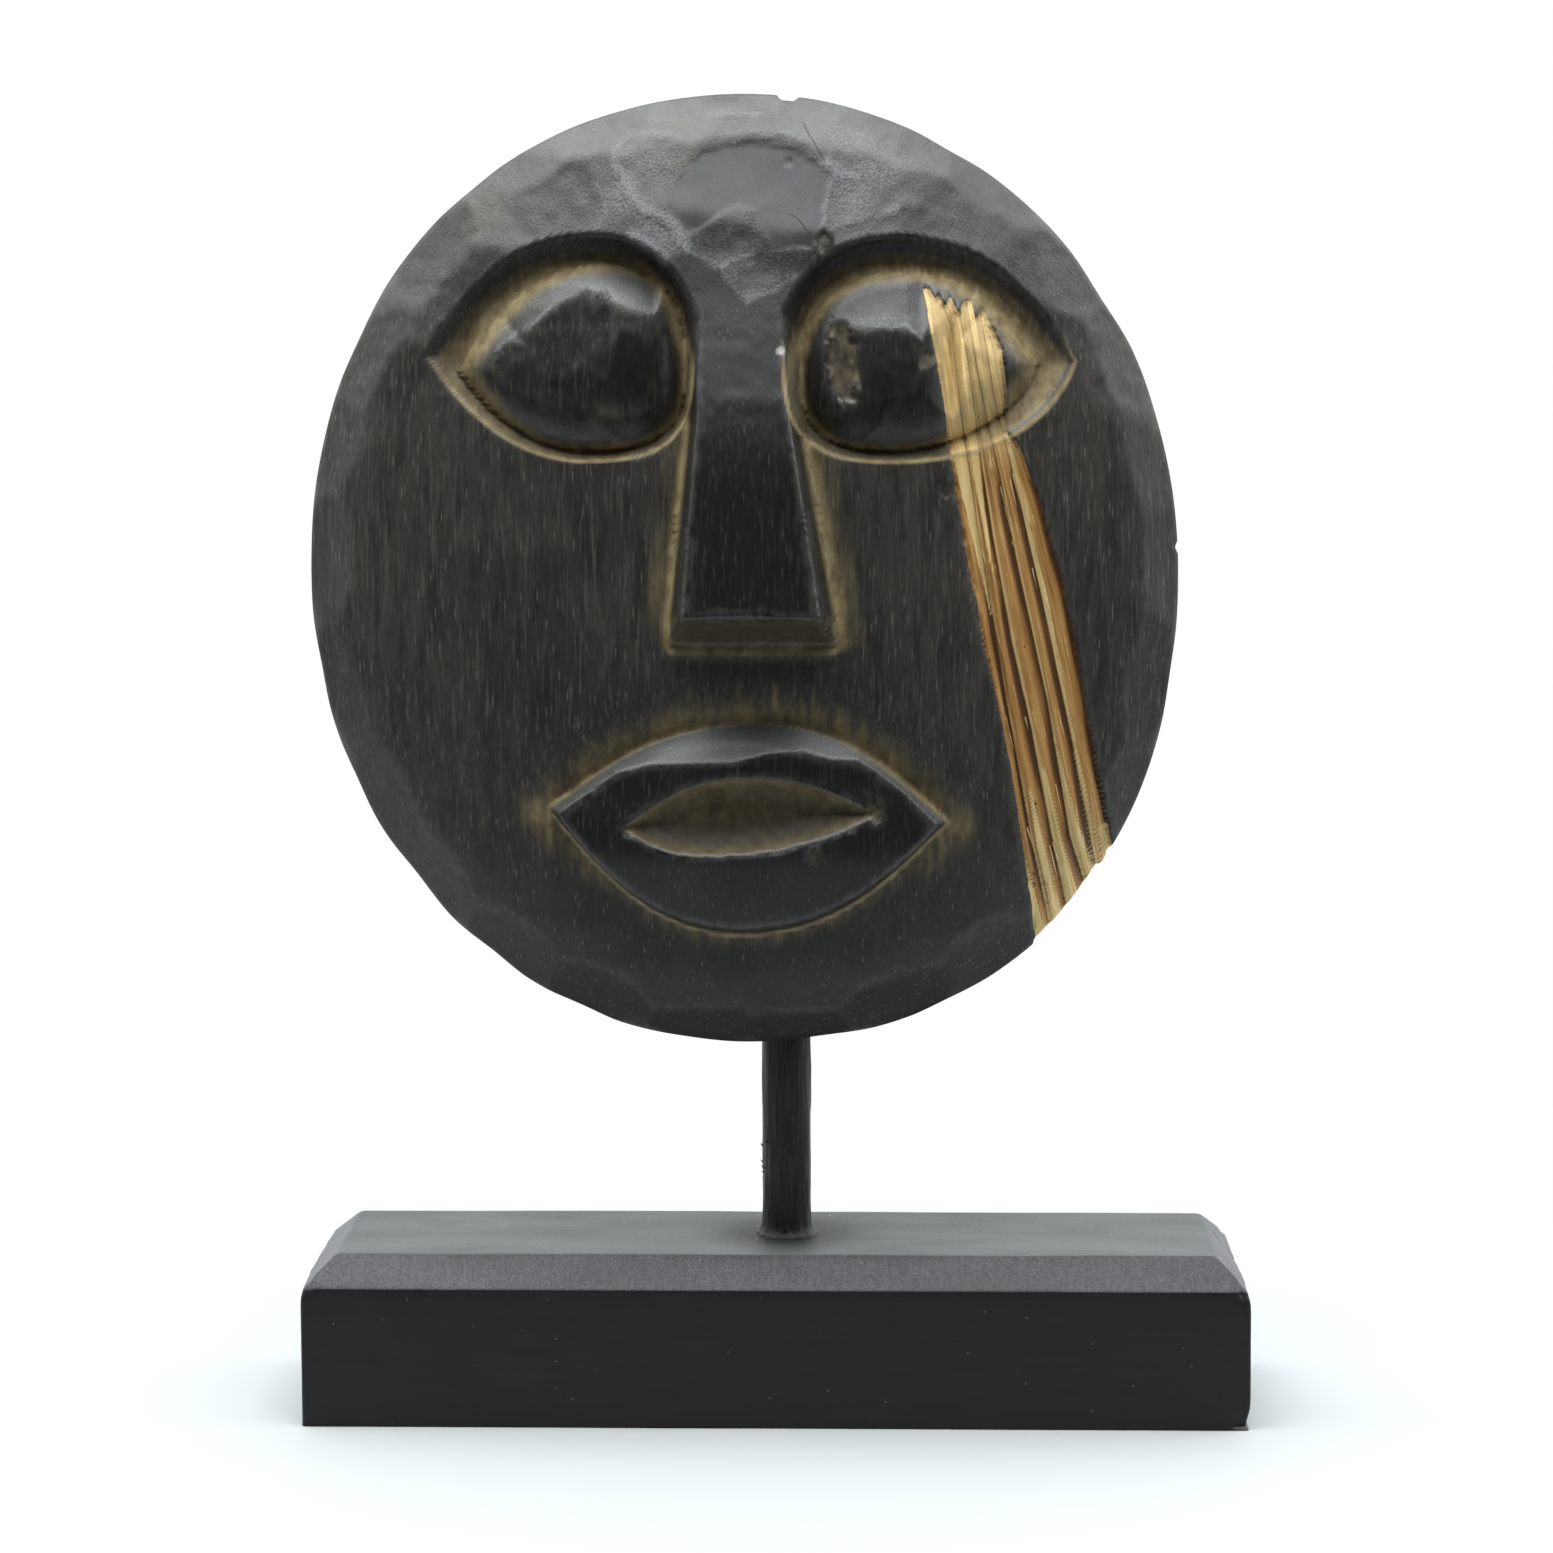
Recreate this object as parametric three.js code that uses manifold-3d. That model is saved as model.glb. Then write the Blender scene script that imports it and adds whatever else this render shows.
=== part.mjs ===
// A carved wooden mask on a dowel rod and a chamfered plinth.
// Millimetres, +Z up. The front faces -Y, and the origin is at the middle of the plinth's underside.
import * as THREE from "three";
import { ConvexGeometry } from "three/addons/geometries/ConvexGeometry.js";
import { mergeVertices } from "three/addons/utils/BufferGeometryUtils.js";
import Module from "manifold-3d";

const wasm = await Module();
wasm.setup();

// Plinth
const plinthWidth = 277;
const plinthDepth = 80;
const plinthHeight = 49.6;
const chamferRun = 10; // how far in the slope along the top edge reaches
const chamferDrop = 8.6; // how far down it starts

// Rod
const rodDiameter = 15;
const rodSides = 20;
const rodAside = 2.8; // the rod stands this far to the right of the plinth's middle
const rodShown = 59.6; // between the plinth's top and the lowest point of the mask
const rodInPlinth = 25;
const rodInMask = 25;
const glueGap = 0.3; // round the rod and past both of its ends

// Mask: its outline, and how its surface rises from the flat back
const maskWidth = 253.7;
const maskHeight = 277.1;
const maskAside = -9.4; // the mask's middle against the plinth's middle
const rimBehind = 12; // the flat back lies this far behind the rod's axis
const rimThickness = 22;
const crownRise = 35; // the forehead's dome above the rim, at its middle
const cheekLevel = 48; // the cheeks' dome above the back, at its middle
const cheekFall = 13; // how much lower it is where it meets the slope round the rim
const cheekReach = 0.88; // where that is, as a share of the way from the middle to the rim
const domeRoundness = 2.4;
const rimRoundness = 0.75;
const outlinePoints = 72;
// How square each quarter of the outline is: 2 is an ellipse
const squareness = { upperRight: 2.04, upperLeft: 2.12, lowerLeft: 2.0, lowerRight: 2.22 };

// Adze cuts: rings of flat facets, as shares of the way out, with how many stand in each
const crownCuts = [[0.985, 46], [0.93, 36], [0.84, 30], [0.72, 24], [0.58, 18], [0.42, 12], [0.22, 6]];
const cheekCuts = [[0.8, 24], [0.62, 18], [0.42, 12], [0.18, 5]];
const cutDepth = 0.7; // how much deeper some cuts go than others

// Nose, eyes and mouth: places are shares of the mask's half width and half height
const bridgeRise = 44; // the nose's front above the mask's back, where it leaves the forehead
const noseRise = 64; // between the eyes
const tipRise = 69;
const noseProfile = [
  // height on the face, half width of the nose's front, and half width where it meets the cheeks
  { z: 0.66, front: 0.085, foot: 0.1, rise: bridgeRise },
  { z: 0.34, front: 0.1, foot: 0.125, rise: noseRise },
  { z: -0.073, front: 0.153, foot: 0.19, rise: tipRise },
];
const noseMiddle = [-0.005, 0.026]; // its middle line leans from the first share at the top to the second
const noseUnder = -0.142; // where its sloping underside meets the lip
const browLine = [[-1.2, 0.3], [-0.715, 0.457], [-0.35, 0.5], [0.35, 0.5], [0.754, 0.445], [1.2, 0.3]];

const eyes = [
  {
    rim: { outer: [-0.713, 0.457], top: [-0.34, 0.697], inner: [-0.104, 0.447], bottom: [-0.347, 0.24] },
    ball: { outer: [-0.643, 0.428], top: [-0.29, 0.648], inner: [-0.123, 0.43], bottom: [-0.35, 0.262] },
  },
  {
    rim: { outer: [0.757, 0.445], top: [0.36, 0.693], inner: [0.097, 0.447], bottom: [0.34, 0.238] },
    ball: { outer: [0.69, 0.428], top: [0.37, 0.63], inner: [0.13, 0.43], bottom: [0.34, 0.262] },
  },
];
const trenchDepth = 5; // round an eyeball, below the cheeks' dome
const eyeballRise = 11; // an eyeball's middle above its trench
const buried = 3; // how far an added form reaches into the block behind it
const trenchSlope = 0.35; // how far the trench's wall leans out for each millimetre of its height

const lips = { left: [-0.444, -0.486], right: [0.47, -0.511], top: [0.032, -0.304], bottom: [0, -0.75] };
const mouth = { left: [-0.27, -0.517], right: [0.315, -0.488], top: [0.012, -0.412], bottom: [-0.09, -0.572] };
const moatWidth = 8;
const moatDepth = 3.5;
const lipRise = 10; // the lips' front above the moat
const upperSlope = 0.42; // of the upper lip's width faces up
const lowerSlope = 0.1; // of the lower lip's width is its steep lower edge
const mouthDepth = 8; // the hollow between the lips, below their ridge

// Bare reeded band from the right eye down to the rim
const bandLeft = [[0.407, 0.591], [0.47, 0.254], [0.677, -0.8]];
const bandRight = [[0.548, 0.543], [0.582, 0.479], [0.605, 0.29], [0.663, 0.183], [0.778, -0.25], [0.862, -0.62]];
const bandSteps = [0.479, 0.29, 0.254, 0.183, -0.25, -0.62, -0.95]; // heights at which its edges may turn
const bandRibs = 5;
const bandSink = 1.4; // the ribs' tops below the dark surface
const grooveShare = 0.3; // of each rib's pitch
const grooveDepth = 1.6;
const bandGuard = 12; // the band's cuts stop this far above the back

// Hollow back
const backRim = 20;
const backRimBelow = 42; // wider there, for the rod
const hollowDepth = 28;
const hollowSides = 40;

const halfWidth = maskWidth / 2;
const halfHeight = maskHeight / 2;
const maskMiddle = plinthHeight + rodShown + halfHeight;
const front = 2 * tipRise; // further forward than any part of the mask

// A point of the mask: shares of its half width and half height, and the rise above its flat back
const at = (x, z, rise) =>
  new THREE.Vector3(maskAside + x * halfWidth, rimBehind - rise, maskMiddle + z * halfHeight);
const mix = (a, b, t) => a + (b - a) * t;
const mixPoint = (a, b, t) => [mix(a[0], b[0], t), mix(a[1], b[1], t)];
// The same irregular number from 0 to 1 each time for the same whole number
const uneven = (n) => Math.abs(Math.sin(n * 12.9898) * 43758.5453) % 1;

// A closed geometry as a solid, turned the right way round if its faces point in
function solid(geometry) {
  const bare = geometry.clone();
  ["normal", "uv"].forEach((name) => bare.deleteAttribute(name));
  const merged = mergeVertices(bare, 1e-4);
  const triVerts = new Uint32Array(merged.index.array);
  const vertProperties = merged.attributes.position.array;
  const made = new wasm.Manifold(new wasm.Mesh({ numProp: 3, vertProperties, triVerts }));
  if (made.volume() > 0) return made;
  return new wasm.Manifold(new wasm.Mesh({ numProp: 3, vertProperties, triVerts: triVerts.reverse() }));
}

// A solid as a geometry to draw
function geometryOf(made) {
  const { numProp, numVert, vertProperties, triVerts } = made.getMesh();
  const points = new Float32Array(numVert * 3);
  for (let i = 0; i < numVert; i++) points.set(vertProperties.subarray(i * numProp, i * numProp + 3), i * 3);
  const geometry = new THREE.BufferGeometry();
  geometry.setAttribute("position", new THREE.BufferAttribute(points, 3));
  geometry.setIndex(new THREE.BufferAttribute(triVerts, 1));
  const flat = geometry.toNonIndexed();
  flat.computeVertexNormals();
  return flat;
}

// A closed body through rings of points, each with as many as the last, closed at both ends by a fan
function loft(rings) {
  const count = rings[0].length;
  const points = rings.flat();
  const index = [];
  for (let r = 0; r + 1 < rings.length; r++) {
    for (let i = 0; i < count; i++) {
      const [a, b] = [r * count + i, r * count + ((i + 1) % count)];
      index.push(a, b, b + count, a, b + count, a + count);
    }
  }
  [0, rings.length - 1].forEach((r) => {
    const middle = rings[r].reduce((sum, p) => sum.add(p), new THREE.Vector3()).divideScalar(count);
    points.push(middle);
    for (let i = 0; i < count; i++) {
      const pair = [r * count + i, r * count + ((i + 1) % count)];
      if (r === 0) pair.reverse();
      index.push(...pair, points.length - 1);
    }
  });
  const geometry = new THREE.BufferGeometry().setFromPoints(points);
  geometry.setIndex(index);
  return solid(geometry);
}

// An upright prism of the face: an outline in shares, from one rise above the back to another
const prism = (outline, from, to) =>
  loft([from, to].map((rise) => outline.map(([x, z]) => at(x, z, rise))));

// Exponent of the outline's quarter that holds a point
function quarter(x, z) {
  if (z >= 0) return x >= 0 ? squareness.upperRight : squareness.upperLeft;
  return x >= 0 ? squareness.lowerRight : squareness.lowerLeft;
}

// How far out a point lies: 0 at the middle, 1 on the mask's outline
function reach(x, z) {
  const n = quarter(x, z);
  return (Math.abs(x) ** n + Math.abs(z) ** n) ** (1 / n);
}

// The point of the outline in one direction, scaled in by a share
function outlinePoint(angle, share = 1) {
  const [x, z] = [Math.cos(angle), Math.sin(angle)];
  const r = reach(x, z);
  return [(x / r) * share, (z / r) * share];
}

const crown = (x, z) =>
  rimThickness + crownRise * Math.max(1 - reach(x, z) ** domeRoundness, 0) ** rimRoundness;
const cheek = (x, z) => cheekLevel - cheekFall * (reach(x, z) / cheekReach) ** domeRoundness;

// A block far wider than the mask whose lower face lies on a dome's tangent plane, to cut a flat facet
function facetCut(dome, x, z, sunk, tilt) {
  const step = 0.01;
  const here = at(x, z, dome(x, z) - sunk);
  const slopeX = (dome(x + step, z) - dome(x - step, z)) / (2 * step * halfWidth);
  const slopeZ = (dome(x, z + step) - dome(x, z - step)) / (2 * step * halfHeight);
  const normal = new THREE.Vector3(-slopeX + tilt[0], -1, -slopeZ + tilt[1]).normalize();
  const size = 2 * maskHeight;
  const block = new THREE.BoxGeometry(size, size, size);
  block.translate(0, 0, size / 2);
  block.applyQuaternion(new THREE.Quaternion().setFromUnitVectors(new THREE.Vector3(0, 0, 1), normal));
  block.translate(here.x, here.y, here.z);
  return solid(block);
}

// The mask's outline as a block, cut down to a dome by rings of flat facets
function adzed(dome, cuts, seed) {
  const outline = [];
  for (let i = 0; i < outlinePoints; i++) outline.push(outlinePoint((i / outlinePoints) * 2 * Math.PI));
  let made = prism(outline, 0, front);
  made = made.subtract(facetCut(dome, 0, 0, 0, [0, 0]));
  cuts.forEach(([share, count], ring) => {
    for (let i = 0; i < count; i++) {
      const n = seed + ring * 100 + i;
      const angle = ((i + 0.5 * (ring % 2) + 0.5 * (uneven(n) - 0.5)) / count) * 2 * Math.PI;
      const [x, z] = outlinePoint(angle, share * (1 + 0.03 * (uneven(n + 0.3) - 0.5)));
      const tilt = [0.05 * (uneven(n + 0.5) - 0.5), 0.05 * (uneven(n + 0.7) - 0.5)];
      made = made.subtract(facetCut(dome, x, z, cutDepth * uneven(n + 0.9), tilt));
    }
  });
  return made;
}

// The points of a cubic curve, without its last
function curve(a, b, c, d, count = 8) {
  const bezier = new THREE.CubicBezierCurve(...[a, b, c, d].map(([x, z]) => new THREE.Vector2(x, z)));
  return bezier.getPoints(count).slice(0, -1).map((p) => [p.x, p.y]);
}

// An almond: pointed at its outer corner and round at its inner end
function almond({ outer, top, inner, bottom }) {
  const toward = (from, to, x, z) => [mix(from[0], to[0], x), mix(from[1], to[1], z)];
  return [
    ...curve(outer, toward(outer, top, 0.18, 0.5), toward(top, outer, 0.5, 0), top),
    ...curve(top, toward(top, inner, 0.62, 0), toward(inner, top, 0, 0.62), inner),
    ...curve(inner, toward(inner, bottom, 0, 0.75), toward(bottom, inner, 0.75, 0), bottom),
    ...curve(bottom, toward(bottom, outer, 0.5, 0), toward(outer, bottom, 0.18, 0.42), outer),
  ];
}

// A lens: pointed at both of its ends
function lens({ left, top, right, bottom }) {
  const half = (from, via, to) => [
    ...curve(from, [mix(from[0], via[0], 0.25), mix(from[1], via[1], 0.42)],
      [mix(via[0], from[0], 0.5), via[1]], via, 9),
    ...curve(via, [mix(via[0], to[0], 0.5), via[1]],
      [mix(to[0], via[0], 0.25), mix(to[1], via[1], 0.42)], to, 9),
  ];
  return [...half(left, top, right), ...half(right, bottom, left)];
}

const middleOf = (outline) => [0, 1].map((k) => outline.reduce((sum, p) => sum + p[k], 0) / outline.length);

// An outline moved outwards by a width in millimetres, along the lines from its middle
function widened(outline, width) {
  const [x0, z0] = middleOf(outline);
  return outline.map(([x, z]) => {
    const [dx, dz] = [(x - x0) * halfWidth, (z - z0) * halfHeight];
    const scale = 1 + width / Math.hypot(dx, dz);
    return [x0 + (x - x0) * scale, z0 + (z - z0) * scale];
  });
}

// Rings of points that lie on or below the cheeks' dome
const ringOn = (outline, offset) => outline.map(([x, z]) => at(x, z, cheek(x, z) + offset));
const shrunk = (outline, share) => {
  const middle = middleOf(outline);
  return outline.map((p) => mixPoint(middle, p, share));
};

function withEye(face, { rim, ball }) {
  const [rimLine, ballLine] = [almond(rim), almond(ball)];
  const wide = crownRise; // far enough above the cheeks to clear the brow
  const socket = loft([
    ringOn(widened(rimLine, trenchSlope * wide), wide),
    ringOn(widened(rimLine, 0), 0),
    ringOn(ballLine, -trenchDepth),
  ]);
  const rise = (share) => -trenchDepth + eyeballRise * Math.sqrt(1 - share ** 2);
  const eyeball = loft([
    ringOn(ballLine, -trenchDepth - buried),
    ringOn(ballLine, -trenchDepth),
    ...[0.9, 0.68, 0.4, 0.15].map((share) => ringOn(shrunk(ballLine, share), rise(share))),
  ]);
  return face.subtract(socket).add(eyeball);
}

function withNose(face) {
  const points = [];
  noseProfile.forEach(({ z, front: half, rise, foot }, i) => {
    const middle = mix(...noseMiddle, i / (noseProfile.length - 1));
    const feet = [Math.min(rise, cheekLevel) - buried, rimThickness];
    [-1, 1].forEach((side) => {
      points.push(at(middle + side * half, z, rise));
      feet.forEach((low) => points.push(at(middle + side * foot, z, low)));
    });
  });
  const { foot } = noseProfile.at(-1);
  [-1, 1].forEach((side) => {
    [cheekLevel - buried, rimThickness].forEach((low) => {
      points.push(at(noseMiddle[1] + side * foot, noseUnder, low));
    });
  });
  return face.add(solid(new ConvexGeometry(points)));
}

function withMouth(face) {
  const [lipLine, mouthLine] = [lens(lips), lens(mouth)];
  const moat = loft([
    ringOn(widened(lipLine, moatWidth), crownRise),
    ringOn(widened(lipLine, moatWidth), 0.5),
    ringOn(lipLine, -moatDepth),
  ]);
  // From the lips' outer line to the mouth's, with shares of their own above and below the corners
  const between = (above, below, rise) => {
    const corners = (lips.left[1] + lips.right[1]) / 2;
    const line = lipLine.map((p, i) => {
      const height = (p[1] - corners) / (lips.top[1] - corners);
      const share = mix(below, above, Math.min(Math.max(height, 0) * 2, 1));
      return mixPoint(p, mouthLine[i], share);
    });
    return ringOn(line, rise - moatDepth);
  };
  const cushion = loft([
    ringOn(lipLine, -moatDepth - buried),
    ringOn(lipLine, -moatDepth),
    between(upperSlope, lowerSlope, lipRise * 0.85),
    between(0.75, 0.5, lipRise * 0.96),
    between(1, 1, lipRise),
    ringOn(shrunk(mouthLine, 0.8), lipRise - mouthDepth * 0.9 - moatDepth),
    ringOn(shrunk(mouthLine, 0.3), lipRise - mouthDepth - moatDepth),
  ]);
  return face.subtract(moat).add(cushion);
}

// Sinks the surface inside a prism by a depth, towards the back and the mask's middle
function sunk(face, region, depth) {
  const moved = face.translate(-0.5 * depth, depth, 0.4 * depth);
  return face.subtract(region.subtract(moved));
}

// The x of a line through points at a given z, all in shares
function lineAt(points, z) {
  const found = points.findIndex((p) => p[1] <= z);
  const next = found < 0 ? points.length - 1 : Math.max(found, 1);
  const [[x0, z0], [x1, z1]] = [points[next - 1], points[next]];
  return mix(x0, x1, (z - z0) / (z1 - z0));
}

function withBand(face) {
  const strip = (from, to) => {
    const edge = (share) => {
      const top = mix(bandLeft[0][1], bandRight[0][1], share);
      return [top, ...bandSteps].map((z) => [mix(lineAt(bandLeft, z), lineAt(bandRight, z), share), z]);
    };
    return prism([...edge(from), ...edge(to).reverse()], bandGuard, front);
  };
  let made = sunk(face, strip(0, 1), bandSink);
  for (let i = 1; i < bandRibs; i++) {
    const middle = i / bandRibs;
    const half = grooveShare / bandRibs / 2;
    made = sunk(made, strip(middle - half, middle + half), grooveDepth);
  }
  return made;
}

function withHollow(face) {
  const low = -1 + backRimBelow / halfHeight;
  const high = 1 - backRim / halfHeight;
  const wide = 1 - backRim / halfWidth;
  const ring = (share, rise) => {
    const points = [];
    for (let i = 0; i < hollowSides; i++) {
      const [x, z] = outlinePoint((i / hollowSides) * 2 * Math.PI, share);
      points.push(at(x * wide, (low + high) / 2 + (z * (high - low)) / 2, rise));
    }
    return points;
  };
  const dish = loft([
    ring(1.02, -5),
    ring(1, 0),
    ring(0.93, hollowDepth * 0.55),
    ring(0.8, hollowDepth * 0.9),
    ring(0.5, hollowDepth),
  ]);
  return face.subtract(dish);
}

// An upright cylinder round the rod's axis, from one height to another
function upright(radius, from, to) {
  const cylinder = new THREE.CylinderGeometry(radius, radius, to - from, rodSides);
  cylinder.rotateX(Math.PI / 2);
  cylinder.translate(rodAside, 0, (from + to) / 2);
  return solid(cylinder);
}

const maskBottom = plinthHeight + rodShown;
const rodFoot = plinthHeight - rodInPlinth;
const rodTop = maskBottom + rodInMask;

function maskSolid() {
  const crownBlock = adzed(crown, crownCuts, 1);
  const cheekBlock = adzed(cheek, cheekCuts, 2000);
  const below = [[-1.2, -1.2], [1.2, -1.2]];
  const lowered = prism([...below, ...[...browLine].reverse()], 0, front).subtract(cheekBlock);
  const face = withNose(eyes.reduce(withEye, crownBlock.subtract(lowered)));
  const carved = withBand(withMouth(face));
  const bore = upright(rodDiameter / 2 + glueGap, maskBottom - maskHeight / 10, rodTop + glueGap);
  return withHollow(carved).subtract(bore);
}

function plinthSolid() {
  const ring = (inset, z) => {
    const [x, y] = [plinthWidth / 2 - inset, plinthDepth / 2 - inset];
    return [[-x, -y], [x, -y], [x, y], [-x, y]].map(([px, py]) => new THREE.Vector3(px, py, z));
  };
  const block = loft([
    ring(0, 0),
    ring(0, plinthHeight - chamferDrop),
    ring(chamferRun, plinthHeight),
  ]);
  return block.subtract(upright(rodDiameter / 2 + glueGap, rodFoot - glueGap, plinthHeight * 1.1));
}

const stainedWood = new THREE.MeshStandardMaterial({ color: 0x2b2a27, roughness: 0.5, metalness: 0 });
const blackWood = new THREE.MeshStandardMaterial({ color: 0x1c1a1a, roughness: 0.6, metalness: 0 });
const paintedWood = new THREE.MeshStandardMaterial({ color: 0x29262a, roughness: 0.45, metalness: 0 });

function piece(name, made, material) {
  const mesh = new THREE.Mesh(geometryOf(made), material);
  mesh.name = name;
  return mesh;
}

const part = new THREE.Group();
part.add(piece("mask", maskSolid(), stainedWood));
part.add(piece("rod", upright(rodDiameter / 2, rodFoot, rodTop), blackWood));
part.add(piece("plinth", plinthSolid(), paintedWood));

export default part;
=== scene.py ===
"""A carved wooden mask on a dowel rod and a plinth: its carved surface, finishes, floor, light and camera.

Lengths are in millimetres until a mesh is made. A place on the face is given as shares of the mask's half
width and half height from its middle, and a height there is the rise above the mask's flat back.
"""
import math

import bpy
import numpy as np
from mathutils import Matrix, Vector


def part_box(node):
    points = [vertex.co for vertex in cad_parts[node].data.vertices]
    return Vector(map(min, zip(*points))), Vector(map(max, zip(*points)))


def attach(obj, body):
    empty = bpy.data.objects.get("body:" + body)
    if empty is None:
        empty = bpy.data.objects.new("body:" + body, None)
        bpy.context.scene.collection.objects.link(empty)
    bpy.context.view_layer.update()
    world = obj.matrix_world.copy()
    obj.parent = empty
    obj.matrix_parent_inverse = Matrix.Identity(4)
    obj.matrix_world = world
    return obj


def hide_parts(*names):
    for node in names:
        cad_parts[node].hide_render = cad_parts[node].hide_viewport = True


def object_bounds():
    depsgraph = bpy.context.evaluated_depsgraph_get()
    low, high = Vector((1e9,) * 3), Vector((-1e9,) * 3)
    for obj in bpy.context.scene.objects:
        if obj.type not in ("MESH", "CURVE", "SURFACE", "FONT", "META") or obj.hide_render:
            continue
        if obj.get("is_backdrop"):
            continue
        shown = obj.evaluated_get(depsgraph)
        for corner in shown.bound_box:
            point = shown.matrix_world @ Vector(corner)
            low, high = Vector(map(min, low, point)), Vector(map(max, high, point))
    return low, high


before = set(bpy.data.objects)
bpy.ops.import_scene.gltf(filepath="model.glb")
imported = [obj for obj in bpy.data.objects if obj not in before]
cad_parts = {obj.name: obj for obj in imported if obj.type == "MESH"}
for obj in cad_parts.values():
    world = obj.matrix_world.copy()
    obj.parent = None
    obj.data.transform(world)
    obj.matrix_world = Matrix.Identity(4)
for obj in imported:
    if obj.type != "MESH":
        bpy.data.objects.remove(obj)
cad_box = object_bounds()

MM = 0.001
low, high = [np.array(corner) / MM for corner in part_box("mask")]
half_width, half_height = (high[0] - low[0]) / 2, (high[2] - low[2]) / 2
mask_x, mask_z, mask_back = (high[0] + low[0]) / 2, (high[2] + low[2]) / 2, high[1]

# The face, as the solid has it
rim_thickness = 22
crown_rise = 35
cheek_level, cheek_fall, cheek_reach = 48, 13, 0.88
dome_roundness, rim_roundness = 2.4, 0.75
squareness = {"upper right": 2.04, "upper left": 2.12, "lower left": 2.0, "lower right": 2.22}
nose_heights = (0.66, 0.34, -0.073)
nose_rises = (44, 64, 68.6)
nose_fronts = (0.085, 0.1, 0.153)
nose_feet = (0.1, 0.125, 0.19)
nose_middle = (-0.005, 0.026)
nose_under = -0.142
brow_line = ((-1.2, 0.3), (-0.715, 0.457), (-0.35, 0.5), (0.35, 0.5), (0.754, 0.445), (1.2, 0.3))
eye_rims = (
    {"outer": (-0.713, 0.457), "top": (-0.34, 0.697), "inner": (-0.104, 0.447), "bottom": (-0.347, 0.24)},
    {"outer": (0.757, 0.445), "top": (0.36, 0.693), "inner": (0.097, 0.447), "bottom": (0.34, 0.238),
     "under": (0.137, 0.7)},
)
eyeballs = (
    {"outer": (-0.643, 0.428), "top": (-0.29, 0.648), "inner": (-0.123, 0.43), "bottom": (-0.35, 0.262)},
    {"outer": (0.67, 0.44), "top": (0.37, 0.63), "inner": (0.13, 0.43), "bottom": (0.34, 0.262),
     "under": (0.05, 0.45)},
)
trench_depth, trench_slope, eyeball_rise = 5, 0.35, 11
# The flats cut on each eyeball: the ridge between two of them, and how steep they are above it and below it
eyeball_flats = (
    (
        (((-0.56, 0.6), (-0.515, 0.599), (-0.438, 0.606), (-0.35, 0.603), (-0.306, 0.58), (-0.251, 0.555),
          (-0.203, 0.543), (-0.15, 0.535)), 0.95, 0.24),
        (((-0.6, 0.45), (-0.556, 0.473), (-0.508, 0.502), (-0.446, 0.543), (-0.394, 0.58), (-0.328, 0.594),
          (-0.25, 0.63)), 0.62, 0.2),
        (((-0.585, 0.423), (-0.512, 0.471), (-0.446, 0.488), (-0.36, 0.535), (-0.27, 0.53),
          (-0.18, 0.5)), 0.3, 0.04),
    ),
    (
        (((0.18, 0.56), (0.2375, 0.519), (0.271, 0.511), (0.339, 0.516), (0.373, 0.517), (0.407, 0.495),
          (0.45, 0.54), (0.53, 0.6)), 0.62, 0.1),
        (((0.4, 0.5), (0.5, 0.49), (0.6, 0.44), (0.66, 0.42)), 0.45, 0.1),
    ),
)
lips = {"left": (-0.444, -0.486), "right": (0.47, -0.511), "top": (0.032, -0.304), "bottom": (0, -0.75)}
mouth = {
    "left": (-0.27, -0.517), "right": (0.315, -0.488), "top": (0.012, -0.412), "bottom": (-0.09, -0.572),
}
moat_depth, lip_rise, mouth_depth = 3.5, 10, 7
moat_fade, moat_below = 19, 0.05  # how far the moat runs out, and the share of its depth under the lower lip
lower_slope = 0.1  # share of the way in to the mouth over which the lower lip rises
# The crooked ridge along the upper lip
lip_ridge = (
    (-0.444, -0.488), (-0.393, -0.466), (-0.334, -0.433), (-0.288, -0.4), (-0.21, -0.381), (-0.106, -0.375),
    (-0.016, -0.371), (0.069, -0.354), (0.135, -0.35), (0.202, -0.368), (0.301, -0.371), (0.357, -0.3955),
    (0.434, -0.457), (0.47, -0.513),
)
# The bare band from its top down: its left edge, the four grooves between its ribs, and its right edge
band_lines = (
    ((0.406, 0.6), (0.436, 0.47), (0.473, 0.25), (0.5, 0.09), (0.547, -0.126), (0.608, -0.38),
     (0.653, -0.635), (0.69, -0.87)),
    ((0.442, 0.59), (0.474, 0.52), (0.497, 0.34), (0.531, 0.13), (0.569, -0.083), (0.601, -0.262),
     (0.662, -0.565), (0.722, -0.81)),
    ((0.487, 0.58), (0.516, 0.425), (0.541, 0.245), (0.568, 0.084), (0.611, -0.134), (0.658, -0.318),
     (0.707, -0.547), (0.775, -0.83)),
    ((0.508, 0.57), (0.532, 0.425), (0.584, 0.208), (0.625, 0.023), (0.695, -0.262), (0.749, -0.547),
     (0.84, -0.8)),
    ((0.538, 0.56), (0.567, 0.388), (0.612, 0.224), (0.677, -0.031), (0.745, -0.318), (0.81, -0.608),
     (0.85, -0.76)),
    ((0.545, 0.57), (0.563, 0.518), (0.586, 0.474), (0.602, 0.376), (0.598, 0.302), (0.626, 0.274),
     (0.675, 0.161), (0.706, 0.054), (0.735, -0.03), (0.781, -0.249), (0.818, -0.427), (0.847, -0.554),
     (0.9, -0.73)),
)
# Its torn upper end, from left to right
band_top = (
    (0.404, 0.597), (0.425, 0.594), (0.436, 0.575), (0.446, 0.583), (0.459, 0.558), (0.47, 0.58),
    (0.49, 0.545), (0.5, 0.568), (0.518, 0.571), (0.529, 0.53), (0.54, 0.556), (0.56, 0.53),
)
band_sink, groove_depth = 1.4, 1.5
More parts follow.
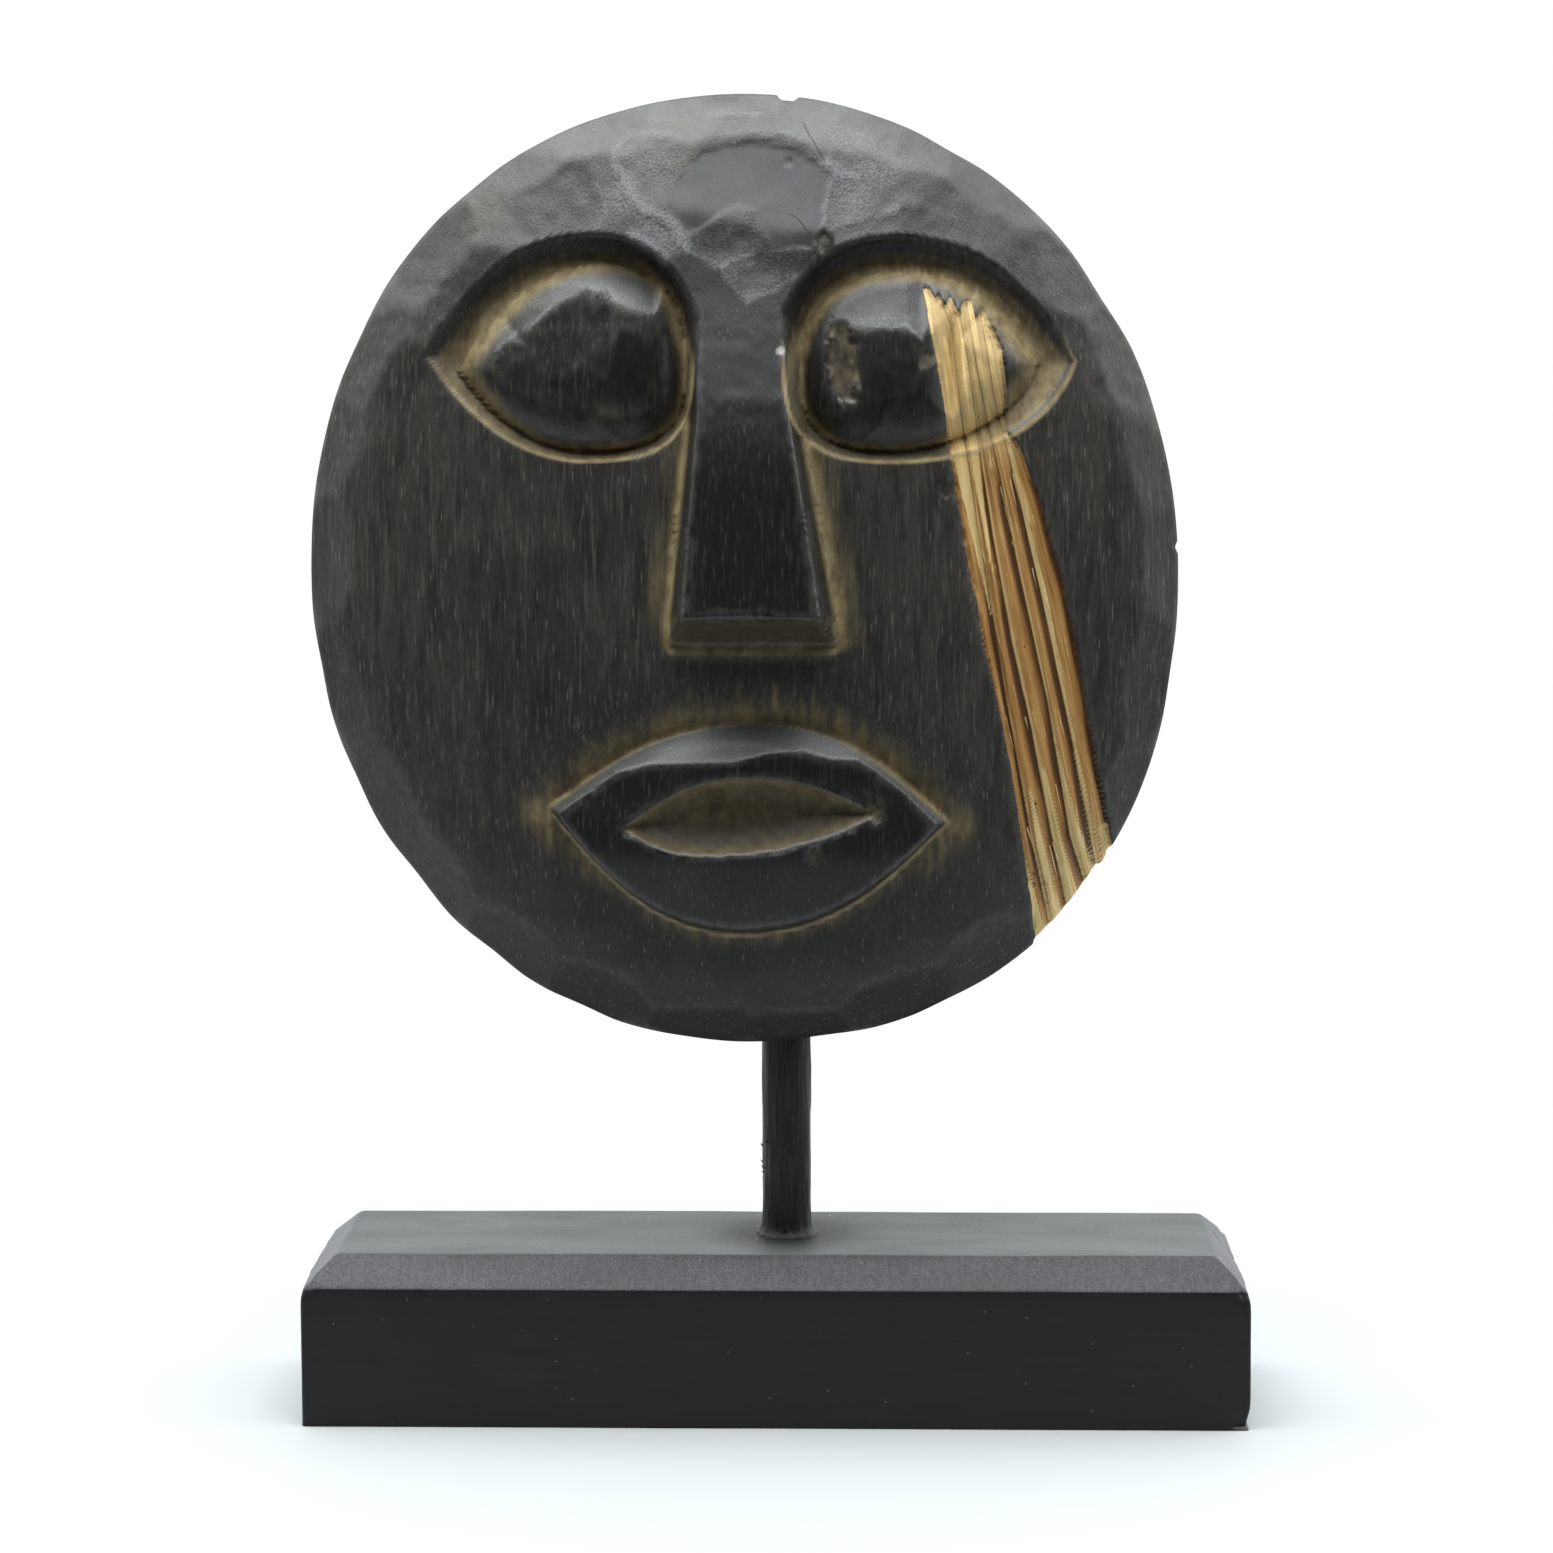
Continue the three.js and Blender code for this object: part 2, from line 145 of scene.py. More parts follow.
# Cream slivers of the bare wood, from a height with two rib places down to another height with two
cream_wedges = (
    (0.5, 0.5, 0.62, 0.25, 0.05, 1.0), (0.26, 0.1, 0.98, -0.08, 0.88, 1.02),
    (0.54, 1.25, 1.8, 0.26, 1.1, 2.0), (0.26, 1.12, 1.85, 0.0, 1.5, 1.6),
    (0.58, 2.95, 3.5, 0.27, 3.2, 3.3), (0.57, 4.0, 4.12, 0.28, 4.1, 4.65),
    (0.27, 4.0, 4.3, -0.35, 4.05, 4.2), (0.6, 0.0, 0.35, 0.5, 0.0, 0.1),
    (-0.58, 0.0, 0.1, -0.88, 0.0, 1.2), (-0.44, 1.3, 1.4, -0.86, 1.1, 1.95),
    (-0.4, 2.1, 2.35, -0.8, 2.05, 2.75), (-0.36, 3.1, 3.2, -0.68, 3.1, 3.9),
    (-0.36, 4.0, 4.15, -0.72, 3.95, 4.4), (-0.525, 4.45, 5.1, -0.7, 4.4, 5.1),
)
back_rim, back_rim_below, hollow_depth = 20, 42, 28

# The adze's cuts: rings of scoops as shares of the way out, how many stand in each, and their half width
crown_cuts = ((0.96, 26, 15), (0.83, 20, 17), (0.68, 17, 17), (0.52, 13, 16))
cheek_cuts = ((0.78, 18, 15), (0.6, 15, 15), (0.42, 12, 14), (0.18, 5, 14))
# The forehead's own scoops: where they lie and their half width
forehead_scoops = (
    (0.03, 0.82, 20), (-0.02, 0.7, 13), (0.055, 0.63, 11), (-0.205, 0.825, 15), (-0.225, 0.715, 11),
    (-0.375, 0.79, 17), (-0.235, 0.92, 12), (0.28, 0.79, 17), (0.245, 0.92, 12), (0.425, 0.76, 15),
    (0.0, 0.945, 12), (-0.12, 0.955, 11), (0.13, 0.95, 11), (-0.52, 0.77, 14), (-0.09, 0.61, 9),
    (0.14, 0.6, 9), (0.55, 0.74, 13), (0.64, 0.65, 12), (-0.42, 0.9, 12), (0.4, 0.88, 12),
)
# Pale ridges, partly rubbed, partly painted highlight: the line, its half width in millimetres and how pale
pale_ridges = (
    (((-0.284, 0.843), (-0.249, 0.805), (-0.243, 0.777), (-0.213, 0.753), (-0.167, 0.734), (-0.137, 0.701),
      (-0.121, 0.673)), 1.5, 1.0),
    (((-0.289, 0.848), (-0.287, 0.883), (-0.259, 0.907), (-0.223, 0.914), (-0.167, 0.915)), 1.0, 0.7),
    (((-0.23, 0.9), (-0.2, 0.908), (-0.16, 0.912)), 0.7, 0.4),
    (((-0.08, 0.952), (-0.02, 0.955), (0.036, 0.952)), 0.9, 0.7),
    (((-0.035, 0.914), (0.006, 0.916), (0.062, 0.911), (0.123, 0.916)), 0.6, 0.6),
    (((0.194, 0.852), (0.209, 0.838), (0.225, 0.829), (0.26, 0.826)), 1.9, 1.0),
    (((0.195, 0.847), (0.202, 0.82), (0.196, 0.786), (0.186, 0.748), (0.186, 0.72)), 0.8, 0.5),
    (((0.199, 0.72), (0.26, 0.732), (0.301, 0.746), (0.35, 0.755)), 1.1, 0.55),
    (((-0.04, 0.6345), (-0.03, 0.611), (0.016, 0.566), (0.087, 0.592), (0.123, 0.6205)), 0.7, 0.35),
    (((-0.12, 0.67), (-0.085, 0.655), (-0.04, 0.6345), (-0.01, 0.654), (0.031, 0.665)), 0.8, 0.4),
    (((-0.245, 0.705), (-0.198, 0.677), (-0.167, 0.654)), 1.4, 0.9),
    (((-0.335, 0.81), (-0.32, 0.786), (-0.3105, 0.753), (-0.3185, 0.729)), 0.9, 0.35),
    (((-0.43, 0.605), (-0.394, 0.606), (-0.35, 0.603), (-0.328, 0.594), (-0.306, 0.58),
      (-0.277, 0.5665)), 0.8, 0.9),
    (((-0.556, 0.473), (-0.508, 0.502), (-0.475, 0.519), (-0.446, 0.543), (-0.416, 0.5665)), 0.45, 0.6),
    (((0.305, 0.516), (0.373, 0.518), (0.39, 0.503), (0.407, 0.495)), 0.7, 0.7),
    (((-0.262, -0.531), (-0.148, -0.563), (-0.052, -0.577), (0.071, -0.5675), (0.255, -0.519)), 0.45, 0.8),
    (((-0.253, -0.397), (-0.183, -0.372), (-0.113, -0.348), (-0.043, -0.339), (0.027, -0.344),
      (0.08, -0.352), (0.133, -0.36)), 0.8, 0.4),
)
# Pale patches, partly rubbed, partly painted sheen: where they lie, their half sizes and turn
pale_patches = (
    ((-0.187, 0.71), (9, 4), -0.6), ((0.25, 0.9), (9, 6), -0.5), ((-0.2, 0.85), (9, 5), 0),
    ((-0.315, 0.59), (10, 2.6), -0.3), ((0.31, 0.53), (8, 1.6), 0.05), ((0.215, -0.347), (13, 3.0), -0.2),
    ((-0.12, -0.35), (9, 1.3), 0.1), ((0.25, 0.79), (7, 9), 0.0), ((-0.27, 0.79), (6, 8), 0.0),
    ((0.3, 0.84), (10, 6), -0.3),
)
# Flats of the forehead, the bridge and the right eyeball that differ from what lies round them: the
# outline, how dark and how smooth; the smooth ones also get a painted bluish sheen
face_flats = (
    (((-0.162, 0.7435), (-0.154, 0.772), (-0.142, 0.814), (-0.121, 0.852), (-0.086, 0.876), (-0.025, 0.89),
      (0.006, 0.894), (0.062, 0.891), (0.123, 0.881), (0.158, 0.861), (0.184, 0.8475), (0.199, 0.824),
      (0.199, 0.796), (0.186, 0.758), (0.184, 0.7245), (0.166, 0.7), (0.158, 0.677), (0.082, 0.675),
      (0.0465, 0.72), (0.036, 0.758), (-0.0095, 0.765), (-0.045, 0.748), (-0.086, 0.72),
      (-0.121, 0.7055)), 0.3, 1.0),
    (((-0.52, 0.79), (-0.421, 0.824), (-0.39, 0.843), (-0.36, 0.8475), (-0.335, 0.81), (-0.32, 0.786),
      (-0.3105, 0.753), (-0.3185, 0.729), (-0.332, 0.708), (-0.42, 0.69), (-0.52, 0.71)), 0.4, 0.0),
    (((0.199, 0.72), (0.26, 0.732), (0.301, 0.746), (0.38, 0.755), (0.5, 0.73), (0.42, 0.67), (0.33, 0.68),
      (0.26, 0.68), (0.2, 0.68)), 0.35, 0.0),
    (((-0.16, 0.66), (-0.085, 0.655), (-0.04, 0.6345), (-0.03, 0.611), (0.016, 0.566), (0.087, 0.592),
      (0.123, 0.6205), (0.153, 0.654), (0.19, 0.62), (0.14, 0.2), (-0.16, 0.2)), 0.85, 0.0),
    (((0.17, 0.57), (0.235, 0.525), (0.34, 0.521), (0.373, 0.52), (0.4, 0.5), (0.41, 0.6), (0.3, 0.62),
      (0.2, 0.6)), 0.6, 0.0),
)
blade_radius = 260  # of the adze's curved edge
dome_radius = 190  # of the face that it cuts
no_crack = 9.0  # the distance noted where no crack is near


def smooth_step(start, end, value):
    share = np.clip((value - start) / (end - start), 0, 1)
    return share * share * (3 - 2 * share)


def soft_min(a, b, reach):
    share = np.clip(0.5 + 0.5 * (b - a) / reach, 0, 1)
    return b * (1 - share) + a * share - reach * share * (1 - share)


def soft_max(a, b, reach):
    return -soft_min(-a, -b, reach)


def mix(a, b, share):
    return a + (b - a) * share


def uneven(number):
    """The same irregular share from 0 to 1 each time for the same number."""
    return abs(math.sin(number * 12.9898) * 43758.5453) % 1


def ripple(across, along, cell, seed):
    """Smooth noise from -1 to 1 whose bumps are about a cell wide."""
    table = np.random.default_rng(seed).uniform(-1, 1, (128, 128))
    column, row = np.floor(across / cell).astype(int), np.floor(along / cell).astype(int)
    right, up = [smooth_step(0, 1, value) for value in (across / cell - column, along / cell - row)]
    corner = lambda i, j: table[(column + i) % 128, (row + j) % 128]
    lower = mix(corner(0, 0), corner(1, 0), right)
    return mix(lower, mix(corner(0, 1), corner(1, 1), right), up)


def blurred(net, passes):
    """The values on a square net, each mixed with its neighbours a number of times."""
    for _ in range(passes):
        for axis in (0, 1):
            padded = np.pad(net, [(1, 1) if k == axis else (0, 0) for k in range(net.ndim)], mode="edge")
            middle = [slice(1, -1) if k == axis else slice(None) for k in range(net.ndim)]
            before, after = list(middle), list(middle)
            before[axis], after[axis] = slice(None, -2), slice(2, None)
            net = (padded[tuple(before)] + 2 * padded[tuple(middle)] + padded[tuple(after)]) / 4
    return net


def reach(x, z):
    """How far out a place lies: 0 in the middle, 1 on the outline."""
    above = np.where(x >= 0, squareness["upper right"], squareness["upper left"])
    below = np.where(x >= 0, squareness["lower right"], squareness["lower left"])
    power = np.where(z >= 0, above, below)
    return (np.abs(x) ** power + np.abs(z) ** power) ** (1 / power)


def crown(x, z):
    return rim_thickness + crown_rise * np.maximum(1 - reach(x, z) ** dome_roundness, 0) ** rim_roundness


def cheek(x, z):
    return cheek_level - cheek_fall * (reach(x, z) / cheek_reach) ** dome_roundness


def curve(a, b, c, d, count=20):
    """Points of a cubic curve, without its last."""
    t = np.linspace(0, 1, count + 1)[:-1, None]
    a, b, c, d = [np.array(point, float) for point in (a, b, c, d)]
    return a * (1 - t) ** 3 + 3 * b * t * (1 - t) ** 2 + 3 * c * t * t * (1 - t) + d * t**3


def toward(start, end, across, up):
    return (mix(start[0], end[0], across), mix(start[1], end[1], up))


def almond(outer, top, inner, bottom, under=(0.18, 0.42)):
    """An outline that is pointed at its outer corner and round at its inner end.

    Under the outer corner it bends at these shares of the way across and up to the bottom.
    """
    return np.concatenate([
        curve(outer, toward(outer, top, 0.18, 0.5), toward(top, outer, 0.5, 0), top),
        curve(top, toward(top, inner, 0.62, 0), toward(inner, top, 0, 0.62), inner),
        curve(inner, toward(inner, bottom, 0, 0.75), toward(bottom, inner, 0.75, 0), bottom),
        curve(bottom, toward(bottom, outer, 0.5, 0), toward(outer, bottom, *under), outer),
    ])


def lens(left, top, right, bottom):
    """An outline that is pointed at both ends."""
    def half(start, middle, end):
        return [
            curve(start, toward(start, middle, 0.25, 0.42), toward(middle, start, 0.5, 0), middle),
            curve(middle, toward(middle, end, 0.5, 0), toward(end, middle, 0.25, 0.42), end),
        ]
    return np.concatenate(half(left, top, right) + half(right, bottom, left))


def distance(x, z, line, closed=True):
    """Millimetres from each place to a line of points, negative inside it if it is closed."""
    across, up = x * half_width, z * half_height
    points = np.array(line) * (half_width, half_height)
    ends = np.roll(points, -1, axis=0) if closed else points[1:]
    nearest = np.full(x.shape, np.inf)
    inside = np.zeros(x.shape, bool)
    for (ax, az), (bx, bz) in zip(points, ends):
        dx, dz = bx - ax, bz - az
        share = np.clip(((across - ax) * dx + (up - az) * dz) / (dx * dx + dz * dz), 0, 1)
        nearest = np.minimum(nearest, (across - ax - share * dx) ** 2 + (up - az - share * dz) ** 2)
        if az != bz:
            inside ^= ((az > up) != (bz > up)) & (across < dx * (up - az) / (bz - az) + ax)
    nearest = np.sqrt(nearest)
    return np.where(inside, -nearest, nearest) if closed else nearest


def share_out(x, z, line):
    """How far a place lies from an outline's middle to the outline: 0 to 1 inside it."""
    middle = line.mean(axis=0)
    offset = (line - middle) * (half_width, half_height)
    angles = np.arctan2(offset[:, 1], offset[:, 0])
    across, up = (x - middle[0]) * half_width, (z - middle[1]) * half_height
    edge = np.interp(np.arctan2(up, across), angles[np.argsort(angles)],
                     np.hypot(*offset.T)[np.argsort(angles)], period=2 * math.pi)
    return np.hypot(across, up) / edge


def ring_scoops(cuts, seed, keep=lambda x, z: True):
    """Where the rings of adze cuts lie, unevenly set as in the solid."""
    scoops = []
    for ring, (share, count, half) in enumerate(cuts):
        for i in range(count):
            number = seed + ring * 100 + i
            angle = (i + 0.5 * (ring % 2) + 0.5 * (uneven(number) - 0.5)) / count * 2 * math.pi
            out = share * (1 + 0.03 * (uneven(number + 0.3) - 0.5))
            x, z = math.cos(angle), math.sin(angle)
            x, z = [float(part / reach(x, z) * out) for part in (x, z)]
            if keep(x, z):
                scoops.append((x, z, half * (0.85 + 0.3 * uneven(number + 0.9))))
    return scoops


def adzed(x, z, dome, scoops, softness, curved=True):
    """A dome cut down by the scoops of a curved blade, which leave low ridges between them."""
    step = 0.01
    surface = dome(x, z) + 1.0
    for sx, sz, half in scoops:
        slope_x = (dome(sx + step, sz) - dome(sx - step, sz)) / (2 * step)
        slope_z = (dome(sx, sz + step) - dome(sx, sz - step)) / (2 * step)
        away = ((x - sx) * half_width) ** 2 + ((z - sz) * half_height) ** 2
        bend = 0.5 / blade_radius if curved else 0
        depth = half**2 * (0.5 / dome_radius + bend) * 0.8
        scoop = dome(sx, sz) + slope_x * (x - sx) + slope_z * (z - sz) + away * bend - depth
        surface = soft_min(surface, scoop, softness)
    return surface


def gouges(across, along, width, length, seed):
    """Small tool marks: 0 in the middle of each and rising to the ridges between them."""
    table = np.random.default_rng(seed).uniform(0.15, 0.85, (2, 128, 128))
    across, along = across / width, along / length
    column, row = np.floor(across).astype(int), np.floor(along).astype(int)
    nearest = np.full(np.shape(across), 9.0)
    for i in (-1, 0, 1):
        for j in (-1, 0, 1):
            jitter = table[:, (column + i) % 128, (row + j) % 128]
            away = (across - column - i - jitter[0]) ** 2 + (along - row - j - jitter[1]) ** 2
            nearest = soft_min(nearest, away, 0.04)
    return nearest


def turned_offset(x, z, middle, turn):
    """Millimetres across and up from a place, in axes turned by an angle."""
    across, up = (x - middle[0]) * half_width, (z - middle[1]) * half_height
    cosine, sine = math.cos(turn), math.sin(turn)
    return across * cosine + up * sine, up * cosine - across * sine


def flake(x, z, middle, half, turn, seed):
    """1 inside a chip with a ragged edge, 0 outside it; its half sizes are in millimetres."""
    across, up = turned_offset(x, z, middle, turn)
    away = np.hypot(across / half[0], up / half[1])
    ragged = 0.22 * ripple(across, up, 2.2, seed) + 0.1 * ripple(across, up, 0.9, seed + 1)
    return smooth_step(1.08, 0.86, away + ragged)


def blot(x, z, middle, half, turn):
    """1 in the middle of a soft oval patch, falling to 0 round it."""
    across, up = turned_offset(x, z, middle, turn)
    return np.exp(-((across / half[0]) ** 2 + (up / half[1]) ** 2))


def along_line(line, height):
    """The share across the face of a line, given from its top down, at each height."""
    heights, places = [point[1] for point in line], [point[0] for point in line]
    return np.interp(-height, [-value for value in heights], places)


# Chips: the place, half sizes in millimetres, turn, depth, and how brown it is, or how pale below 0
chips = (
    ((0.231, 0.445), (4.2, 11.5), 0.13, 0.9, 1.0),
    ((0.418, 0.449), (2.6, 2.4), 0, 0.5, 0.9),
    ((0.192, 0.685), (2.6, 3.6), 0.2, 0.9, 0.3),
    ((0.293, -0.467), (3.4, 2.0), -0.5, 0.7, 0.4),
    ((0.305, -0.49), (2.0, 2.6), 0.3, 0.9, 0.9),
    ((0.163, -0.572), (1.4, 2.6), -0.3, 0.9, 0.9),
    ((0.462, 0.182), (1.8, 2.2), 0.2, 0.35, 0.2),
    ((0.092, 0.468), (1.0, 1.1), 0, 0.3, -0.8),
    ((-0.59, 0.752), (5.0, 8.0), -0.6, 0.2, 0.35),
    ((-0.498, 0.899), (3.6, 2.0), 0.5, 0.2, 0.35),
    ((0.105, 0.855), (0.9, 0.9), 0, 0.6, 0.7),
)
# Brown knots with their radius, and dark spots on the eyeballs with their half sizes
knots = (((-0.123, 0.916), 5.5), ((-0.134, 0.859), 4.5), ((-0.3, 0.34), 5.0), ((-0.345, 0.26), 5.0))
eye_spots = (((-0.262, 0.43), (9.3, 8.9)), ((0.35, 0.405), (10.0, 6.5)))
# Cracks, each from its top down
cracks = (
    ((0.135, 0.945), (0.16, 0.9), (0.19, 0.85)),
    ((0.1, 0.754), (0.13, 0.735), (0.165, 0.695)),
    ((0.17, 0.7), (0.176, 0.66), (0.163, 0.62), (0.168, 0.58)),
    ((0.27, -0.43), (0.3, -0.455), (0.315, -0.49)),
)


def with_eye(x, z, rise, dust, rim, ball, flats):
    rim_line, ball_line = almond(**rim), almond(**ball)
    from_rim, from_ball = distance(x, z, rim_line), distance(x, z, ball_line)
    base = cheek(x, z)
    inward = np.maximum(-from_rim, 0) / (np.maximum(-from_rim, 0) + np.maximum(from_ball, 0) + 1e-6)
    socket = base - trench_depth * (1 - (1 - inward) ** 1.6) + np.maximum(from_rim, 0) / trench_slope
    rise = soft_min(rise, socket, 0.8)

    def dome(px, pz):
        share = np.minimum(share_out(px, pz, ball_line), 1)
        return cheek(px, pz) - trench_depth + eyeball_rise * (1 - share**2.1) ** 0.6

    eyeball = blurred(dome(x, z), 12)
    for line, fall, climb in flats:
        ridge = np.interp(x, [point[0] for point in line], [point[1] for point in line])
        above = (z - ridge) * half_height
        clear = 15 * smooth_step(0.78, 1, share_out(x, ridge, ball_line))
        cut = dome(x, ridge) - fall * np.maximum(above, 0) + climb * np.maximum(-above, 0)
        eyeball = soft_min(eyeball, cut + 0.1 + clear, 0.2)
    eyeball = eyeball + 0.1 * gouges(x * half_width, z * half_height, 7, 6, 32)
    rise = np.where(from_ball < 0, np.maximum(eyeball, base - trench_depth), rise)
    upper = smooth_step(0.4, 0.52, z)
    outer = smooth_step(0.42, 0.6, np.abs(x))
    foot = 0.4 * smooth_step(0.12, 0.5, inward) + 0.6 * smooth_step(0.6, 0.95, inward)
    wall = mix(smooth_step(0, 0.35, inward), foot, upper) * smooth_step(0.3, -0.6, from_rim)
    fade = mix(mix(2.2, 3.0, upper), 5.5, outer)
    trench = np.where(from_ball > 0, wall, np.exp(-((np.minimum(from_ball, 0) / fade) ** 2)))
    lip = np.exp(-(((from_rim + 0.2) / 0.75) ** 2)) * (1 - upper)
    ledge = 0.85 * wall * (from_ball > 0) * (1 - upper) * smooth_step(0.5, 0.56, x)
    foot_shade = wall * (from_ball > 0) * (1 - upper) * smooth_step(-0.2, -1.1, from_rim)
    foot_shade = foot_shade * mix(0.55, 0.75 * smooth_step(0.56, 0.48, x), smooth_step(-0.1, 0.1, x))
    dust = np.maximum(dust, np.maximum(trench * mix(0.75, 1, upper), lip))
    return rise, dust, np.maximum(lip, ledge), foot_shade


def nose_front(z):
    """The nose's front from the side: steep at the bridge and then nearly upright, with a soft bend."""
    top, bend, tip = nose_heights
    upper = nose_rises[1] + (z - bend) * (nose_rises[0] - nose_rises[1]) / (top - bend)
    lower = nose_rises[1] + (z - bend) * (nose_rises[2] - nose_rises[1]) / (tip - bend)
    return soft_min(upper, lower, 11) + 0.4 + 0.7 * smooth_step(0.1, 0.3, z)


def with_nose(x, z, rise, dust):
    heights = nose_heights[::-1]
    side, foot = [np.interp(z, heights, sizes[::-1]) for sizes in (nose_fronts, nose_feet)]
    front = nose_front(z)
    middle = np.interp(z, (nose_heights[2], nose_heights[0]), nose_middle[::-1])
    out = np.abs(x - middle)
    wall = front - (out - side) * np.maximum(front - cheek_level, 9) / (foot - side)
    under_slope = (nose_rises[2] - cheek_level + 3) / (nose_heights[2] - nose_under)
    under = nose_rises[2] + (z - nose_heights[2]) * under_slope
    crowned = front - 0.7 * (out / side) ** 2
    nose = soft_min(soft_min(crowned, wall, 0.9), under, 0.9)
    beside = (out - foot) * half_width
    span = smooth_step(-0.17, -0.13, z) * smooth_step(0.4, 0.27, z)
    right = smooth_step(-0.03, 0.03, x - middle)
    near_left, near_right = np.exp(-((beside / 2.2) ** 2)), 0.75 * np.exp(-(((beside - 1.2) / 3.0) ** 2))
    near = mix(near_left, near_right, right)
    halo = 0.42 * np.exp(-((beside / mix(8.5, 9.5, right)) ** 2))
    halo = halo * (1 + 0.6 * ripple(x * half_width, z * 9, 1.3, 34))
    strip = np.where(beside > 0, np.maximum(near, halo), 0.8 * np.exp(-((beside / 1.2) ** 2))) * span
    below = (z - nose_under) * half_height
    ledge = np.exp(-(((below + 1.0) / 1.5) ** 2)) * smooth_step(2, -1, beside) * 0.9
    step = 0.8 * np.exp(-(((below + 1.6) / 1.6) ** 2)) * smooth_step(1, -2, beside)
    tip = nose_heights[2]
    beneath = 0.3 * smooth_step(1, -1, beside) * smooth_step(tip + 0.004, tip - 0.004, z)
    beneath = beneath * smooth_step(nose_under - 0.004, nose_under + 0.004, z)
    ledge = np.maximum(ledge, beneath)
    return soft_max(rise + step, nose, 0.7), np.maximum(dust, np.maximum(strip, ledge))


def with_mouth(x, z, rise, dust):
    lip_line, mouth_line = lens(**lips), lens(**mouth)
    from_lips, from_mouth = distance(x, z, lip_line), distance(x, z, mouth_line)
    base = cheek(x, z)
    across, up = x * half_width, z * half_height
    corners = (lips["left"][1] + lips["right"][1]) / 2
    above = (z - corners) / (lips["top"][1] - corners)
    deep = moat_depth * mix(moat_below, 1, smooth_step(-0.5, 0.5, above))
    moat = rise - (deep + np.maximum(rise - base, 0)) * np.clip(1 - from_lips / moat_fade, 0, 1) ** 2
    rise = np.where(from_lips < moat_fade, moat, rise)
    upper = np.clip(2 * above, 0, 1)
    inward = np.maximum(-from_lips, 0) / (np.maximum(-from_lips, 0) + np.maximum(from_mouth, 0) + 1e-6)
    top_line = lip_line[:len(lip_line) // 2 + 1]
    top, ridge = [np.interp(x, *np.array(line).T) for line in (top_line, lip_ridge)]
    down = np.maximum(top - z, 0) / np.maximum(top - ridge, 0.004)
    from_edge = inward / lower_slope
    first = 0.85 * lip_rise * np.where(z > corners - 0.03, soft_min(down, from_edge, 0.1), from_edge)
    second = 0.85 * lip_rise + 0.15 * lip_rise * inward
    cushion = base - deep + soft_min(first, second, 0.4)
    cushion = cushion + 0.3 * ripple(across, up, 16, 35) * smooth_step(0, 0.15, inward)
    share = np.minimum(share_out(x, z, mouth_line), 1)
    dish = base - deep + lip_rise - mouth_depth * (1 - share**3.4) ** 0.85
    lipped = np.where(from_mouth < 0, dish, cushion)
    rise = np.where(from_lips < 0, np.maximum(lipped, base - deep), rise)
    corner = smooth_step(0.3, 0.46, np.abs(x - 0.01))
    wide = mix(mix(5.0, 8.5, upper), 9.0, corner)
    soft = mix(0.42 + 0.3 * upper, 0.58, corner) * np.exp(-((from_lips / wide) ** 2))
    soft = soft * (1 + 0.35 * ripple(across, up / 9, 1.6, 36))
    line = 0.85 * np.exp(-(((from_lips - 0.3) / 0.8) ** 2))
    halo = np.where(from_lips > 0, np.maximum(soft, line), line)
    edge = np.exp(-(((from_mouth + 1.2) / 1.5) ** 2))
    inner = (0.74 + 0.08 * edge) * smooth_step(0.6, -0.6, from_mouth)
    return rise, np.maximum(dust, np.maximum(halo, inner))


def band_places(x, z):
    """How far inside the bare band a place lies, and at which of its ribs."""
    run = z * half_height
    lines = [along_line(line, z) for line in band_lines]
    left, right = lines[0], lines[-1]
    top = np.interp(x, [point[0] for point in band_top], [point[1] for point in band_top])
    frayed = 0.3 * ripple(run, z * 0, 6, 46) + 0.15 * ripple(run, z * 0, 1.5, 47)
    inside = np.minimum(np.minimum(x - left, right - x) * half_width + frayed, (top - z) * half_height)
    rib = sum(np.clip((x - start) / (end - start), 0, 1) for start, end in zip(lines, lines[1:]))
    return inside, rib


def with_band(x, z, rise):
    inside, rib = band_places(x, z)
    run = z * half_height
    within = np.where(rib < 5, rib % 1, 1)
    cut = smooth_step(-0.1, 0.5, inside)
    groove = np.interp(within, (0, 0.13, 0.26, 0.6, 0.84, 1), (1, 0.2, 0, 0.3, 0.8, 1))
    fibres = ripple(rib * 5.5, run / 14, 0.8, 44) + 0.6 * ripple(rib * 5.5, run / 6, 0.5, 45)
    grooved = groove_depth * groove * mix(0.55, 1, smooth_step(0.32, 0.15, z))
    depth = band_sink * 0.6 + grooved + 0.16 * fibres
    toasted = smooth_step(0.3, 0.14, z) * smooth_step(-0.84, -0.5, z)
    patches = 0.8 + 0.35 * ripple(rib * 1.7, run / 17, 1.0, 49)
    char = np.maximum(toasted, 0.3 * smooth_step(0.5, 0.3, z) * smooth_step(3.8, 4.2, rib)) * patches
    cream = np.zeros(x.shape)
    for top, top_left, top_right, bottom, bottom_left, bottom_right in cream_wedges:
        down = np.clip((top - z) / (top - bottom), 0, 1)
        left, right = mix(top_left, bottom_left, down), mix(top_right, bottom_right, down)
        across = np.minimum(rib - left, right - rib)
        ends = np.minimum(top - z, z - bottom) * half_height
        cream = np.maximum(cream, smooth_step(-0.1, 0.1, across) * smooth_step(-1.5, 1.5, ends))
    notes = {"band_inside": inside, "band_rib": rib, "char": np.clip(char, 0, 1), "cream": cream}
    return rise - cut * depth, notes


